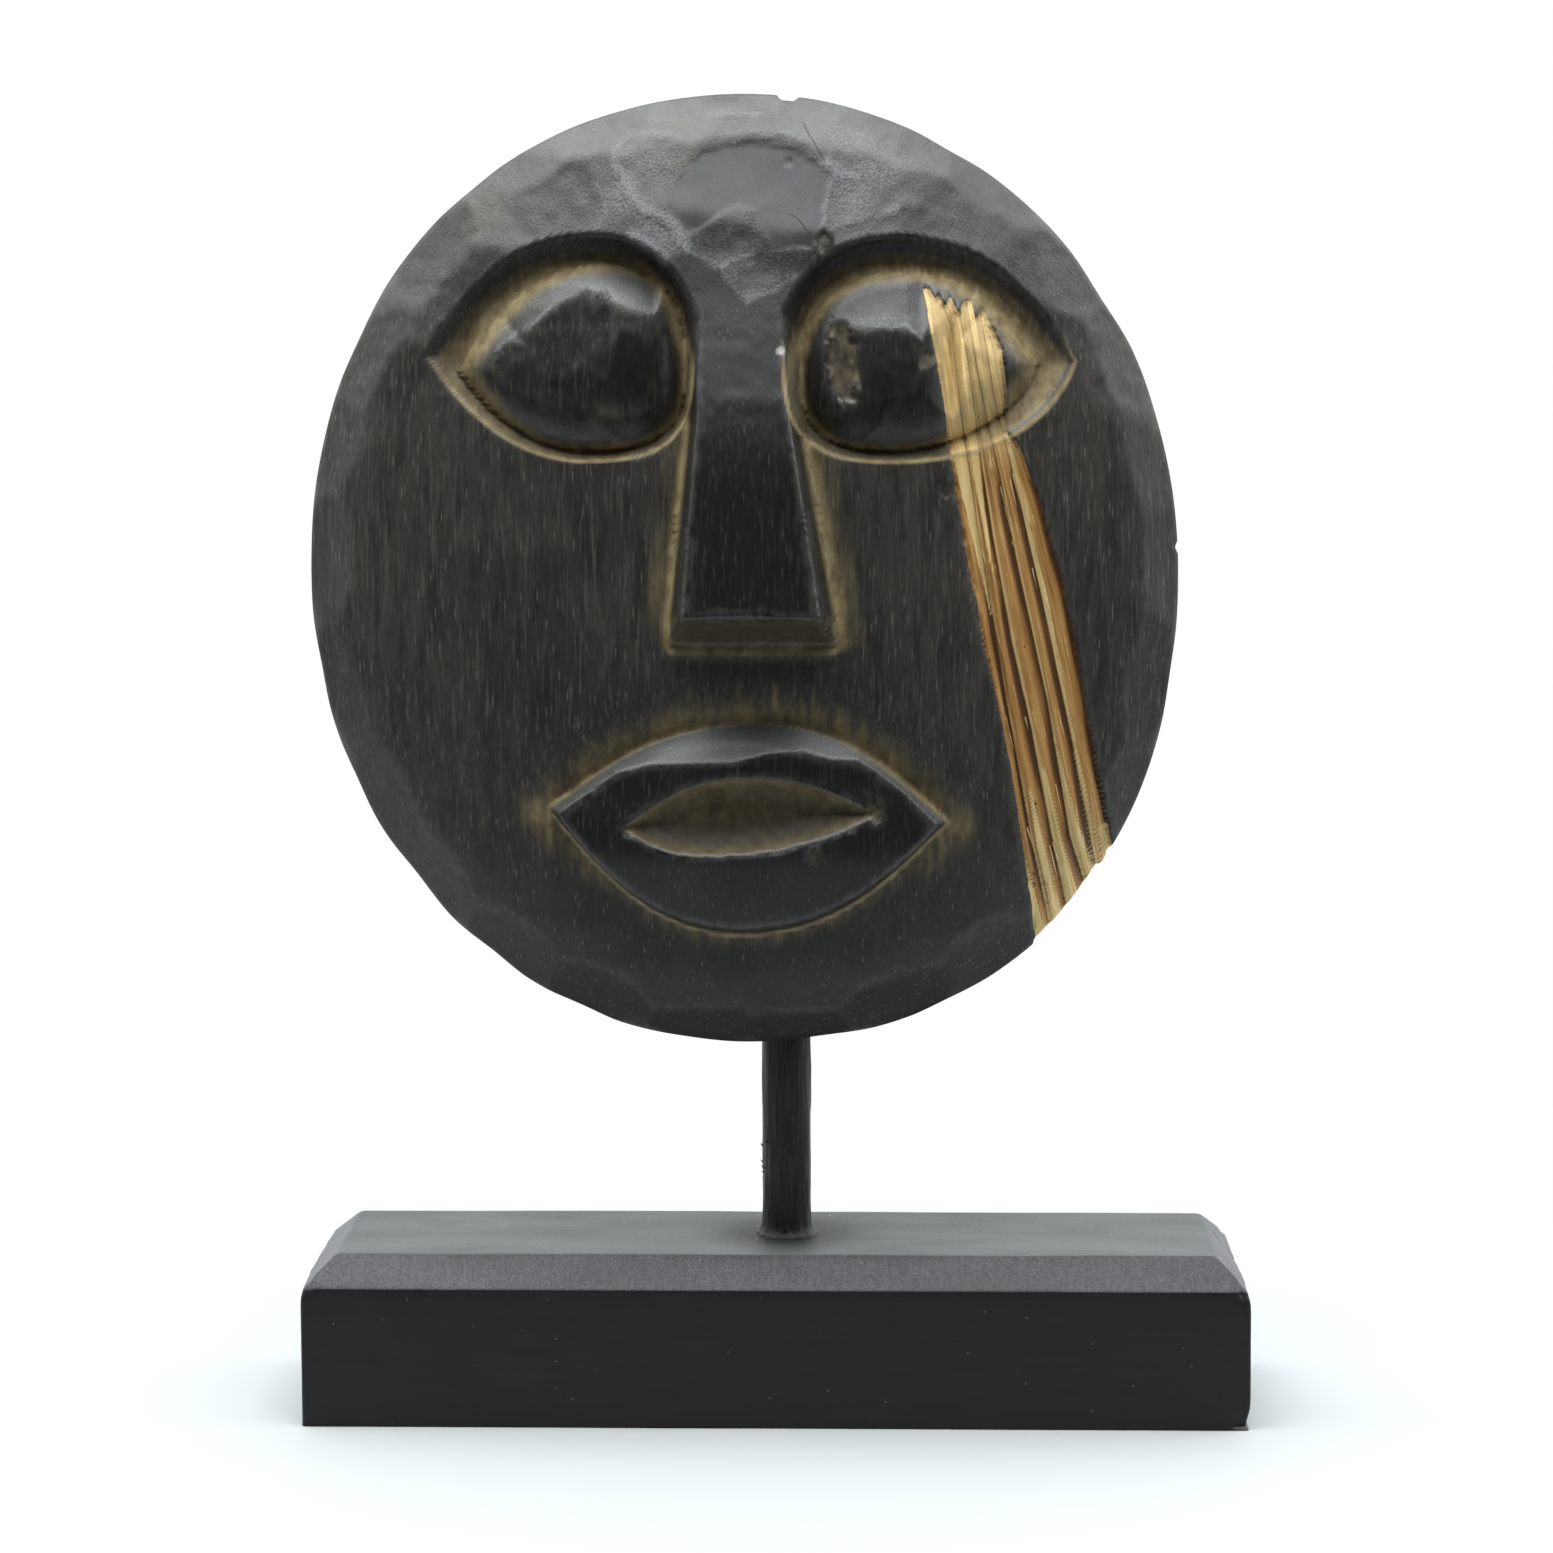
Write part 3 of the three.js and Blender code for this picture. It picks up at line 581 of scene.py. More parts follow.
def carve(x, z):
    """The front's rise above the back, and what its finish needs to know at each place."""
    across, up = x * half_width, z * half_height
    by_hand = lambda sx, sz: sz > 0.5 and abs(sx - 0.05) < 0.63 and reach(sx, sz) < 0.9
    scoops = ring_scoops(crown_cuts, 1, lambda sx, sz: not by_hand(sx, sz))
    top = adzed(x, z, crown, scoops + list(forehead_scoops), softness=0.4)
    low_face = adzed(x, z, cheek, ring_scoops(cheek_cuts, 2000), softness=0.8, curved=False)
    brow = np.interp(x, [point[0] for point in brow_line], [point[1] for point in brow_line])
    below_brow = smooth_step(-7, 7, (brow - z) * half_height)
    rise = mix(top, soft_min(top, low_face, 1.2), below_brow)
    bridge = nose_front(z) - 9 * (np.abs(x) / 0.3) ** 2
    bridge = bridge - 28 * smooth_step(0.52, 0.22, z) - 12 * smooth_step(0.6, 0.9, z)
    bridge = bridge - 60 * smooth_step(0.2, -0.3, z)
    rise = soft_max(rise, bridge, 2.5)
    rise = rise + 0.22 * ripple(across, up, 21, 11) + 0.1 * ripple(across, up, 8, 12)
    rise = rise + 0.12 * gouges(across, up, 9, 13, 13)
    dust = np.zeros(x.shape)
    lip, shade = np.zeros(x.shape), np.zeros(x.shape)
    polish = 0.6 * smooth_step(0.5, 0.6, z)
    for rim, ball, cut_flats in zip(eye_rims, eyeballs, eyeball_flats):
        rise, dust, this_lip, this_shade = with_eye(x, z, rise, dust, rim, ball, cut_flats)
        lip, shade = np.maximum(lip, this_lip), np.maximum(shade, this_shade)
        polish = np.where(distance(x, z, almond(**ball)) < 0, 0.8, polish)
    face = rise
    rise, dust = with_nose(x, z, rise, dust)
    polish = np.maximum(polish, smooth_step(1, 4, rise - face))
    rise, dust = with_mouth(x, z, rise, dust)
    polish = np.where(distance(x, z, lens(**lips)) < 0, 1, polish)
    rise, band = with_band(x, z, rise)
    brown, pale = np.zeros(x.shape), np.zeros(x.shape)
    for number, (place, half, turn, depth, tint) in enumerate(chips):
        chip = flake(x, z, place, half, turn, 60 + 3 * number)
        rise = rise - depth * chip * (1 + 0.3 * ripple(across, up, 1.6, 90 + number))
        brown, pale = np.maximum(brown, chip * max(tint, 0)), np.maximum(pale, chip * max(-tint, 0))
    for place, radius in knots:
        away = np.hypot((x - place[0]) * half_width, (z - place[1]) * half_height) / radius
        brown = np.maximum(brown, 0.35 * smooth_step(1.2, 0.2, away + 0.25 * ripple(across, up, 3, 51)))
    # Dark spots on the eyeballs, darkened through the shade note.
    for place, half in eye_spots:
        away = np.hypot((x - place[0]) * half_width / half[0], (z - place[1]) * half_height / half[1])
        shade = np.maximum(shade, smooth_step(1.15, 0.75, away))
    in_mouth = distance(x, z, lens(**mouth))
    corner_line = np.interp(x, *zip(mouth["left"], mouth["right"]))
    lower_wall = 0.3 * smooth_step(0.02, -0.02, z - corner_line) * smooth_step(0.4, -0.8, in_mouth)
    mouth_shade = 0.5 * smooth_step(0.6, -0.6, in_mouth) + 0.17 * smooth_step(-0.8, -3.2, in_mouth)
    shade = np.maximum(shade, mouth_shade + lower_wall)
    crack = np.full(x.shape, no_crack)
    for line in cracks:
        beside = (x - along_line(line, z)) * half_width + 0.2 * ripple(up, across * 0, 1.8, 52)
        beside = np.where((z < line[0][1]) & (z > line[-1][1]), beside, no_crack)
        crack = np.where(np.abs(beside) < np.abs(crack), beside, crack)
    streaks = smooth_step(0.12, 0.6, ripple(across, up / 12, 1.3, 53))
    philtrum = streaks * np.exp(-((across - 4) / 22) ** 2) * np.exp(-(((up + 37) / 7) ** 2))
    dust = np.maximum(dust, 0.85 * philtrum)
    # Painted highlight, with some rubbing: the pale patches and pale ridges.
    scuffed_and_highlit = np.zeros(x.shape)
    for place, half, turn in pale_patches:
        scuffed_and_highlit = np.maximum(scuffed_and_highlit, 0.6 * blot(x, z, place, half, turn))
    strayed_x = x + 0.004 * ripple(across, up, 2.5, 54)
    strayed_z = z + 0.004 * ripple(across, up, 2.5, 55)
    for line, half, pale_share in pale_ridges:
        beside = distance(strayed_x, strayed_z, line, closed=False)
        pale_ridge = pale_share * np.exp(-((beside / half) ** 2))
        scuffed_and_highlit = np.maximum(scuffed_and_highlit, pale_ridge)
        rise = rise + 0.22 * pale_ridge
    dark, smooth = np.zeros(x.shape), np.zeros(x.shape)
    for outline, darker, smoother in face_flats:
        inside = smooth_step(0.7, -0.7, distance(strayed_x, strayed_z, outline))
        dark, smooth = np.maximum(dark, darker * inside), np.maximum(smooth, smoother * inside)
        rise = rise - 0.12 * inside * smooth_step(0.36, 0.5, z)
    lumps = 0.08 * ripple(across, up, 2.6, 58) + 0.14 * ripple(across, up, 4.6, 59)
    rise = rise + lumps * (1 - 0.9 * smooth) * smooth_step(0.2, 0.4, z)
    return rise, {
        "dust": dust, "brown": brown, "pale": pale, "shade": shade, "crack": crack, "lip": lip,
        "polish": polish, "scuff": scuffed_and_highlit, "smooth": smooth,
        "dark": dark * (dust < 0.1) * smooth_step(0.22, 0.46, z), **band,
    }


# The nets that become meshes: rows of places, joined ring by ring

front_squares = 276  # along each side of the net over the front
across_crowds = ((0.62, 0.26, 0.9), (-0.1, 0.5, 0.15))
up_crowds = ((0.45, 0.28, 0.6), (-0.52, 0.24, 0.5))
# Dents in the outline: angle and half span in degrees, depth in millimetres, and how blunt the ends are
outline_dents = (
    (84.1, 1.5, 1.3, 0.45), (3.2, 0.7, 0.8, 0.8), (-43.1, 6.6, 1.1, 0.12), (-34.9, 0.7, 0.6, 0.9),
    (219.5, 7.5, 0.9, 1), (205.5, 6, 0.6, 1), (233.5, 6.5, 0.8, 1), (247.5, 6, 0.6, 1), (191, 7, 0.5, 1),
    (150, 7, 0.5, 1), (128, 6, 0.4, 1), (107, 8, 0.5, 1), (62, 6, 0.5, 1), (35, 7, 0.5, 1), (-12, 7, 0.4, 1),
    (-62, 6, 0.5, 1), (-78, 7, 0.4, 1),
)


def crowded(count, crowds):
    """Places from -1 to 1 with crowds among them, each given by its middle, width and how much closer."""
    fine = np.linspace(-1, 1, 2001)
    density = 1 + sum(more * np.exp(-(((fine - middle) / width) ** 2)) for middle, width, more in crowds)
    travel = np.concatenate([[0], np.cumsum((density[1:] + density[:-1]) / 2)])
    return np.interp(np.linspace(0, travel[-1], count + 1), travel, fine)


def front_net():
    """A square net bent into the mask's outline."""
    lines_across, lines_up = [crowded(front_squares, crowds) for crowds in (across_crowds, up_crowds)]
    a, b = np.meshgrid(lines_across, lines_up, indexing="ij")
    wide = np.abs(a) > np.abs(b)
    large, small = np.where(wide, a, b), np.where(wide, b, a)
    turn = math.pi / 4 * small / np.where(large == 0, 1, large)
    along, off = large * np.cos(turn), large * np.sin(turn)
    x, z = np.where(wide, along, off), np.where(wide, off, along)
    out = np.hypot(x, z)
    scale = out / np.maximum(reach(x, z), 1e-9)
    angle = np.degrees(np.arctan2(z, x))
    dent = 0.25 * (1 + ripple(angle, angle * 0, 9, 71))
    for middle, half, depth, blunt in outline_dents:
        away = np.abs((angle - middle + 180) % 360 - 180) / half
        dent = dent + depth * smooth_step(1, 1 - blunt, away)
    scale = scale * (1 - dent / half_width * smooth_step(0.9, 1, out))
    return x * scale, z * scale


def bulge(points, passes):
    """How far each place of a net stands out of its blurred surroundings, in millimetres."""
    down, along = np.gradient(points, axis=0), np.gradient(points, axis=1)
    normal = np.cross(down, along)
    normal = normal / np.linalg.norm(normal, axis=-1, keepdims=True)
    return np.sum((points - blurred(points, passes)) * normal, axis=-1)


class Skin:
    """Vertices, faces and what the finish reads at each vertex, gathered ring by ring."""

    def __init__(self):
        self.points, self.faces, self.notes, self.count = [], [], {}, 0

    def add(self, points, notes=None):
        """Adds places (millimetres, with the notes that the finish reads) and gives their numbers."""
        points = np.asarray(points, float).reshape(-1, 3)
        for name in set(self.notes) | set(notes or {}):
            values = np.ravel((notes or {}).get(name, 0))
            column = self.notes.setdefault(name, [np.zeros(self.count)])
            column.append(np.broadcast_to(values, len(points)) if values.size == 1 else values)
        self.points.append(points)
        numbers = np.arange(self.count, self.count + len(points))
        self.count += len(points)
        return numbers

    def grid(self, numbers):
        """Faces of a net whose second direction lies to the left of its first, seen from outside."""
        corners = (numbers[:-1, :-1], numbers[1:, :-1], numbers[1:, 1:], numbers[:-1, 1:])
        self.faces += np.stack([corner.ravel() for corner in corners], axis=1).tolist()

    def strip(self, outer, inner):
        """Faces from a closed ring to the next, which may have half as many places or be one place."""
        after, following = np.roll(outer, -1), np.roll(inner, -1)
        if len(inner) == 1:
            self.faces += [[a, int(inner[0]), b] for a, b in zip(outer.tolist(), after.tolist())]
        elif len(inner) == len(outer):
            self.faces += np.stack([outer, inner, following, after], axis=1).tolist()
        else:
            first, second, third = outer[0::2], outer[1::2], np.roll(outer, -2)[0::2]
            self.faces += np.stack([first, inner, second], axis=1).tolist()
            self.faces += np.stack([second, inner, following, third], axis=1).tolist()

    def piece(self, name, material):
        mesh = bpy.data.meshes.new(name)
        mesh.from_pydata(np.concatenate(self.points) * MM, [], self.faces)
        mesh.polygons.foreach_set("use_smooth", [True] * len(mesh.polygons))
        for note, columns in self.notes.items():
            attribute = mesh.attributes.new(note, "FLOAT", "POINT")
            attribute.data.foreach_set("value", np.concatenate(columns).astype(np.float32))
        mesh.materials.append(material)
        piece = bpy.data.objects.new(name, mesh)
        bpy.context.scene.collection.objects.link(piece)
        return piece


def mask_point(x, z, rise):
    return np.stack([mask_x + x * half_width, mask_back - rise, mask_z + z * half_height], axis=-1)


def around(net):
    """The places on a square net's edge, in order round it."""
    return np.concatenate([net[-1, :-1], net[:0:-1, -1], net[0, :0:-1], net[:-1, 0]])


# Rows down the wall: the share of the way to the back, and of how many of the edge's places they keep one
wall_rows = (
    (0.006, 1), (0.02, 1), (0.05, 2), (0.12, 2), (0.24, 2), (0.38, 2), (0.54, 2), (0.7, 2), (0.84, 2),
    (0.94, 4), (0.985, 4),
)
back_corner = 2.4  # from the outline to where the flat back begins
hollow_rows = 24
hollow_clearance = 0.6  # how much deeper it is cut than the solid's
band_overlap = 9  # how far the bare band runs on over the edge
far_behind = 99  # stands for a place that the band can't reach


def mask_piece(material):
    x, z = front_net()
    rise, notes = carve(x, z)
    points = mask_point(x, z, rise)
    stands_out = bulge(points, 3)
    notes["worn"] = np.clip((stands_out - 0.025) / 0.1, 0, 1)
    skin = Skin()
    numbers = skin.add(points, notes).reshape(x.shape)
    skin.grid(numbers)
    edge, edge_x, edge_z, edge_rise = [around(net) for net in (numbers, x, z, rise)]
    edge_notes = {name: around(value) for name, value in notes.items()}
    angle = np.arctan2(edge_z, edge_x)

    def row(skip, share_x, share_z, risen, behind):
        """A ring of the wall or the back, with the bare band running a little way over the edge."""
        over = band_overlap - behind + 3 * ripple(angle * 40, angle * 0, 1.5, 72)
        kept = {name: edge_notes[name][::skip] for name in ("band_rib", "char", "cream")}
        kept["crack"] = no_crack
        kept["band_inside"] = np.minimum(edge_notes["band_inside"], over)[::skip]
        return skin.add(mask_point(share_x[::skip], share_z[::skip], risen[::skip]), kept)

    ring = edge
    for share, skip in wall_rows:
        depth = edge_rise * (1 - share)
        flats = 0.9 * (gouges(angle * 120, depth, 16, 11, 73) - 0.1) * smooth_step(0, 0.1, share)
        inset = 1 - (np.maximum(flats, 0) + 1.2 * smooth_step(0.9, 1, share)) / half_width
        following = row(skip, edge_x * inset, edge_z * inset, depth, edge_rise * share)
        skin.strip(ring, following)
        ring = following
    low_end, high_end = -1 + back_rim_below / half_height, 1 - back_rim / half_height
    wide, middle, span = 1 - back_rim / half_width, (low_end + high_end) / 2, (high_end - low_end) / 2
    flat = np.zeros(len(edge))
    for share in (0.0, 0.3, 0.65, 0.96):
        inner_x, inner_z = edge_x * wide, middle + edge_z * span
        outer_x, outer_z = edge_x * (1 - back_corner / half_width), edge_z * (1 - back_corner / half_height)
        uneven_back = 0.25 * (1 + ripple(angle * 120, flat + share * 20, 14, 74))
        ring_x, ring_z = mix(outer_x, inner_x, share), mix(outer_z, inner_z, share)
        following = row(4, ring_x, ring_z, uneven_back, far_behind)
        skin.strip(ring, following)
        ring = following
    for step in range(hollow_rows):
        share = 1 - (step / hollow_rows) ** 1.7
        skip = 4 if share > 0.45 else 8 if share > 0.2 else 16
        inner_x, inner_z = edge_x * wide * share, middle + edge_z * span * share
        deep = hollow_depth * (1 - share**7) ** 0.6
        marks = gouges(inner_x * half_width, inner_z * half_height, 15, 24, 75) - 0.15
        shape = deep - marks * smooth_step(1, 0.9, share) + hollow_clearance
        following = row(skip, inner_x, inner_z, shape, far_behind)
        skin.strip(ring, following)
        ring = following
    deepest = mask_point(0, middle, hollow_depth + hollow_clearance)
    skin.strip(ring, skin.add(deepest, {"crack": no_crack, "band_inside": -band_overlap}))
    return skin.piece("carved_mask", material)


# Rod and plinth

rod_low, rod_high = [np.array(corner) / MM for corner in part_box("rod")]
rod_x, rod_radius = (rod_low[0] + rod_high[0]) / 2, (rod_high[0] - rod_low[0]) / 2
plinth_high = np.array(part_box("plinth")[1]) / MM
plinth_across, plinth_deep, plinth_top = plinth_high
chamfer_run, chamfer_drop = 10, 8.6
paint_flare, paint_fall = 1.9, 1.3  # the paint round the rod's foot: how wide, and how soon it thins


def rod_piece(material):
    """A round dowel, a little uneven, with the plinth's paint gathered round its foot."""
    around_rod, rows = 72, 170
    turn = np.arange(around_rod) / around_rod * 2 * math.pi
    skin = Skin()
    ring = skin.add([[rod_x, 0, rod_low[2]]])
    paint_rows = plinth_top + np.array((-0.5, -0.4, 0.2, 0.6, 1.0, 1.5, 2.1, 2.8, 3.6))
    for z in np.sort(np.concatenate([np.linspace(rod_low[2], rod_high[2], rows), paint_rows])):
        level = np.full(around_rod, z)
        grain = 0.16 * ripple(turn * 9, level / 9, 1.0, 81) + 0.1 * ripple(turn * 22, level / 5, 1.0, 82)
        sway = 0.12 * ripple(turn * 2, level, 16, 83)
        over = z - plinth_top
        paint = paint_flare * np.exp(-max(over, 0) / paint_fall) if over > -0.45 else 0
        radius = rod_radius - 0.3 + grain + sway + paint * (1 + 0.3 * ripple(turn * 5, turn * 0, 1.0, 84))
        across, along = rod_x + radius * np.cos(turn), radius * np.sin(turn)
        following = skin.add(np.stack([across, along, level], axis=1))
        skin.strip(following, ring)
        ring = following
    top = skin.add([[rod_x, 0, rod_high[2]]])
    skin.faces += [[int(top[0]), a, b] for a, b in zip(ring.tolist(), np.roll(ring, -1).tolist())]
    return skin.piece("rod_dowel", material)


def plinth_piece(material):
    """A block with a chamfer round its top, worn a little uneven by hand."""
    lines_across, lines_deep = 220, 64
    line_x = crowded(lines_across, ((-1, 0.05, 4), (1, 0.05, 4)))
    line_y = crowded(lines_deep, ((-1, 0.1, 3), (1, 0.1, 3)))
    unit_x, unit_y = np.meshgrid(line_x, line_y, indexing="ij")
    corner = 1.1
    knocked_x = 137  # where the knocks in the ends' edges lie

    def level(ux, uy, inset, z):
        """Places at one height, with the upright corners a little round."""
        inset, z = np.broadcast_to(inset, ux.shape), np.broadcast_to(z, ux.shape)
        x, y = ux * (plinth_across - inset), uy * (plinth_deep - inset)
        over_x = np.maximum(np.abs(x) - (plinth_across - inset - corner), 0)
        over_y = np.maximum(np.abs(y) - (plinth_deep - inset - corner), 0)
        pull = np.where((over_x > 0) & (over_y > 0), np.maximum(np.hypot(over_x, over_y) - corner, 0), 0)
        return np.stack([x - np.sign(x) * pull * 0.7, y - np.sign(y) * pull * 0.7, z], axis=-1)

    edge_height = plinth_top - chamfer_drop
    # Rows up the sides: how far in they lie, and their height
    side_rows = [(0.9, 0.0), (0.35, 0.15), (0.08, 0.5)]
    side_rows += [(0.0, z) for z in np.linspace(1, edge_height - 1.0, 30)]
    side_rows += [(0.02, edge_height - 0.5), (0.14, edge_height - 0.02)]
    side_rows += [(chamfer_run * s, edge_height + chamfer_drop * s) for s in np.linspace(0, 1, 13)[1:-1]]
    side_rows += [(chamfer_run - 0.25, plinth_top - 0.3), (chamfer_run + 0.3, plinth_top - 0.05)]
    skin = Skin()

    def worn(points):
        """The same places moved a little, as hand planing and knocks leave them."""
        x, y, z = points[..., 0], points[..., 1], points[..., 2]
        slant = smooth_step(edge_height - 3, edge_height, z)
        slant = slant * smooth_step(plinth_top + 0.5, plinth_top - 3, z)
        run = x + y * 1.7
        sunk = 0.35 * (1 + ripple(run, z, 34, 91)) / 2
        sunk = sunk + 0.3 * slant * (1 + ripple(run, z * 0, 11, 92)) / 2
        from_left, from_right = x + knocked_x, x - knocked_x
        knock = 1.6 * np.exp(-((from_right / 3) ** 2 + ((z - 1) / 4) ** 2))
        knock = knock + 1.2 * np.exp(-((from_right / 2.2) ** 2 + ((z - 41) / 3) ** 2))
        knock = knock + 0.9 * np.exp(-((from_left / 2.5) ** 2 + ((z - 42) / 3) ** 2 + ((y + 38) / 12) ** 2))
        shift = (sunk + knock) * smooth_step(0.0, 1.0, z)
        near_x = smooth_step(0.9, 1, np.abs(x) / plinth_across)
        near_y = smooth_step(0.75, 1, np.abs(y) / plinth_deep)
        moved = points.copy()
        moved[..., 0] -= np.sign(x) * shift * near_x
        moved[..., 1] -= np.sign(y) * shift * near_y
        moved[..., 2] -= smooth_step(plinth_top - 1.5, plinth_top, z) * 0.15 * (1 + ripple(x, y, 24, 93))
        return moved

    under = skin.add(level(unit_x, unit_y, 0.9, 0.0)).reshape(unit_x.shape)
    skin.grid(under[:, ::-1])
    ring = around(under)
    round_x, round_y = around(unit_x), around(unit_y)
    for inset, z in side_rows[1:]:
        following = skin.add(worn(level(round_x, round_y, inset, z)))
        skin.strip(following, ring)
        ring = following
    top = worn(level(unit_x, unit_y, chamfer_run + 0.9, plinth_top))
    top = skin.add(top).reshape(unit_x.shape)
    skin.grid(top)
    skin.strip(around(top), ring)
    return skin.piece("plinth_block", material)


# Slivers of wood, which repeat

def sliver_tree():
    """Geometry nodes that set tapered slivers on a surface, leaning along one direction."""
    tree = bpy.data.node_groups.new("raised_slivers", "GeometryNodeTree")
    tree.interface.new_socket("Surface", in_out="INPUT", socket_type="NodeSocketGeometry")
    inputs = (
        ("Slivers per square metre", "Float"), ("Length", "Float"), ("Radius", "Float"),
        ("Direction", "Vector"), ("Spread", "Float"), ("Lift", "Float"), ("Seed", "Int"),
        ("Finish", "Material"),
    )
    for name, kind in inputs:
        tree.interface.new_socket(name, in_out="INPUT", socket_type="NodeSocket" + kind)
    tree.interface.new_socket("Slivers", in_out="OUTPUT", socket_type="NodeSocketGeometry")

    def node(kind, sockets, **settings):
        node = tree.nodes.new(kind)
        for name, value in settings.items():
            setattr(node, name, value)
        for name, value in sockets.items():
            if isinstance(value, bpy.types.NodeSocket):
                tree.links.new(value, node.inputs[name])
            else:
                node.inputs[name].default_value = value
        return node

    given = node("NodeGroupInput", {}).outputs
    points = node("GeometryNodeDistributePointsOnFaces", {
        "Mesh": given["Surface"], "Density": given["Slivers per square metre"], "Seed": given["Seed"]})
    shape = node("GeometryNodeMeshCone", {
        "Vertices": 5, "Radius Top": 0.0, "Radius Bottom": given["Radius"], "Depth": given["Length"]})
    sideways = node("FunctionNodeRandomValue", {0: (-1, -1, -1), 1: (1, 1, 1), "Seed": given["Seed"]},
                    data_type="FLOAT_VECTOR")
    vectors = "ShaderNodeVectorMath"
    strayed = node(vectors, {0: sideways.outputs[0], "Scale": given["Spread"]}, operation="SCALE")
    lifted = node(vectors, {0: points.outputs["Normal"], "Scale": given["Lift"]}, operation="SCALE")
    leaning = node(vectors, {0: given["Direction"], 1: strayed.outputs[0]}, operation="ADD")
    leaning = node(vectors, {0: leaning.outputs[0], 1: lifted.outputs[0]}, operation="ADD")
    turned = node("FunctionNodeAlignRotationToVector", {"Vector": leaning.outputs[0]}, axis="Z")
    size = node("FunctionNodeRandomValue", {0: (0.6, 0.6, 0.35), 1: (1.4, 1.4, 1.3), "Seed": given["Seed"]},
                data_type="FLOAT_VECTOR")
    placed = node("GeometryNodeInstanceOnPoints", {
        "Points": points.outputs["Points"], "Instance": shape.outputs["Mesh"], "Rotation": turned.outputs[0],
        "Scale": size.outputs[0]})
    real = node("GeometryNodeRealizeInstances", {"Geometry": placed.outputs[0]})
    finished = node("GeometryNodeSetMaterial", {"Geometry": real.outputs[0], "Material": given["Finish"]})
    node("NodeGroupOutput", {"Slivers": finished.outputs[0]})
    return tree


raised_slivers = sliver_tree()


def slivers(name, surface, material, inputs):
    """One piece of slivers that stand on a mesh, as the inputs say."""
    piece = bpy.data.objects.new(name, surface)
    bpy.context.scene.collection.objects.link(piece)
    modifier = piece.modifiers.new("slivers", "NODES")
    modifier.node_group = raised_slivers
    for socket in raised_slivers.interface.items_tree:
        if socket.in_out == "INPUT" and socket.name in inputs:
            modifier[socket.identifier] = inputs[socket.name]
        elif socket.name == "Finish":
            modifier[socket.identifier] = material
    mesh = bpy.data.meshes.new_from_object(piece.evaluated_get(bpy.context.evaluated_depsgraph_get()))
    piece.modifiers.remove(modifier)
    piece.data = mesh
    return piece


def band_faces(mask):
    """The mask's faces that lie well inside the bare band and away from the rim, as a mesh."""
    source = mask.data
    inside = np.zeros(len(source.vertices))
    source.attributes["band_inside"].data.foreach_get("value", inside)
    places = np.zeros(3 * len(source.vertices))
    source.vertices.foreach_get("co", places)
    well_inside, in_front = 1.2, (mask_back - rim_thickness - 6) * MM
    faces = [list(face.vertices) for face in source.polygons
             if min(inside[i] for i in face.vertices) > well_inside]
    front = [face for face in faces if places[3 * face[0] + 1] < in_front]
    used = sorted({i for face in front for i in face})
    number = {i: k for k, i in enumerate(used)}
    mesh = bpy.data.meshes.new("band_faces")
    mesh.from_pydata(places.reshape(-1, 3)[used], [], [[number[i] for i in face] for face in front])
    return mesh


# Finishes

class Value:
    """A number that changes over a surface. Arithmetic on it adds Math nodes."""

    def __init__(self, finish, socket):
        self.finish, self.socket = finish, socket

    def maths(self, operation, *numbers):
        node = self.finish.node("ShaderNodeMath", {"operation": operation}, dict(enumerate(numbers)))
        return Value(self.finish, node.outputs[0])

    def __add__(self, other):
        return self.maths("ADD", self, other)

    def __sub__(self, other):
        return self.maths("SUBTRACT", self, other)

    def __rsub__(self, other):
        return self.maths("SUBTRACT", other, self)

    def __mul__(self, other):
        return self.maths("MULTIPLY", self, other)

    def __truediv__(self, other):
        return self.maths("DIVIDE", self, other)

    def __pow__(self, other):
        return self.maths("POWER", self, other)

    def __mod__(self, other):
        return self.maths("FLOORED_MODULO", self, other)

    __radd__, __rmul__ = __add__, __mul__

    def least(self, other):
        return self.maths("MINIMUM", self, other)

    def most(self, other):
        return self.maths("MAXIMUM", self, other)

    def rising(self, start, end):
        """0 up to one value and 1 from the other, smooth between them."""
        settings = {"interpolation_type": "SMOOTHSTEP"}
        sockets = {"Value": self, "From Min": start, "From Max": end, "To Min": 0.0, "To Max": 1.0}
        if start > end:
            sockets.update({"From Min": end, "From Max": start, "To Min": 1.0, "To Max": 0.0})
        return Value(self.finish, self.finish.node("ShaderNodeMapRange", settings, sockets).outputs[0])


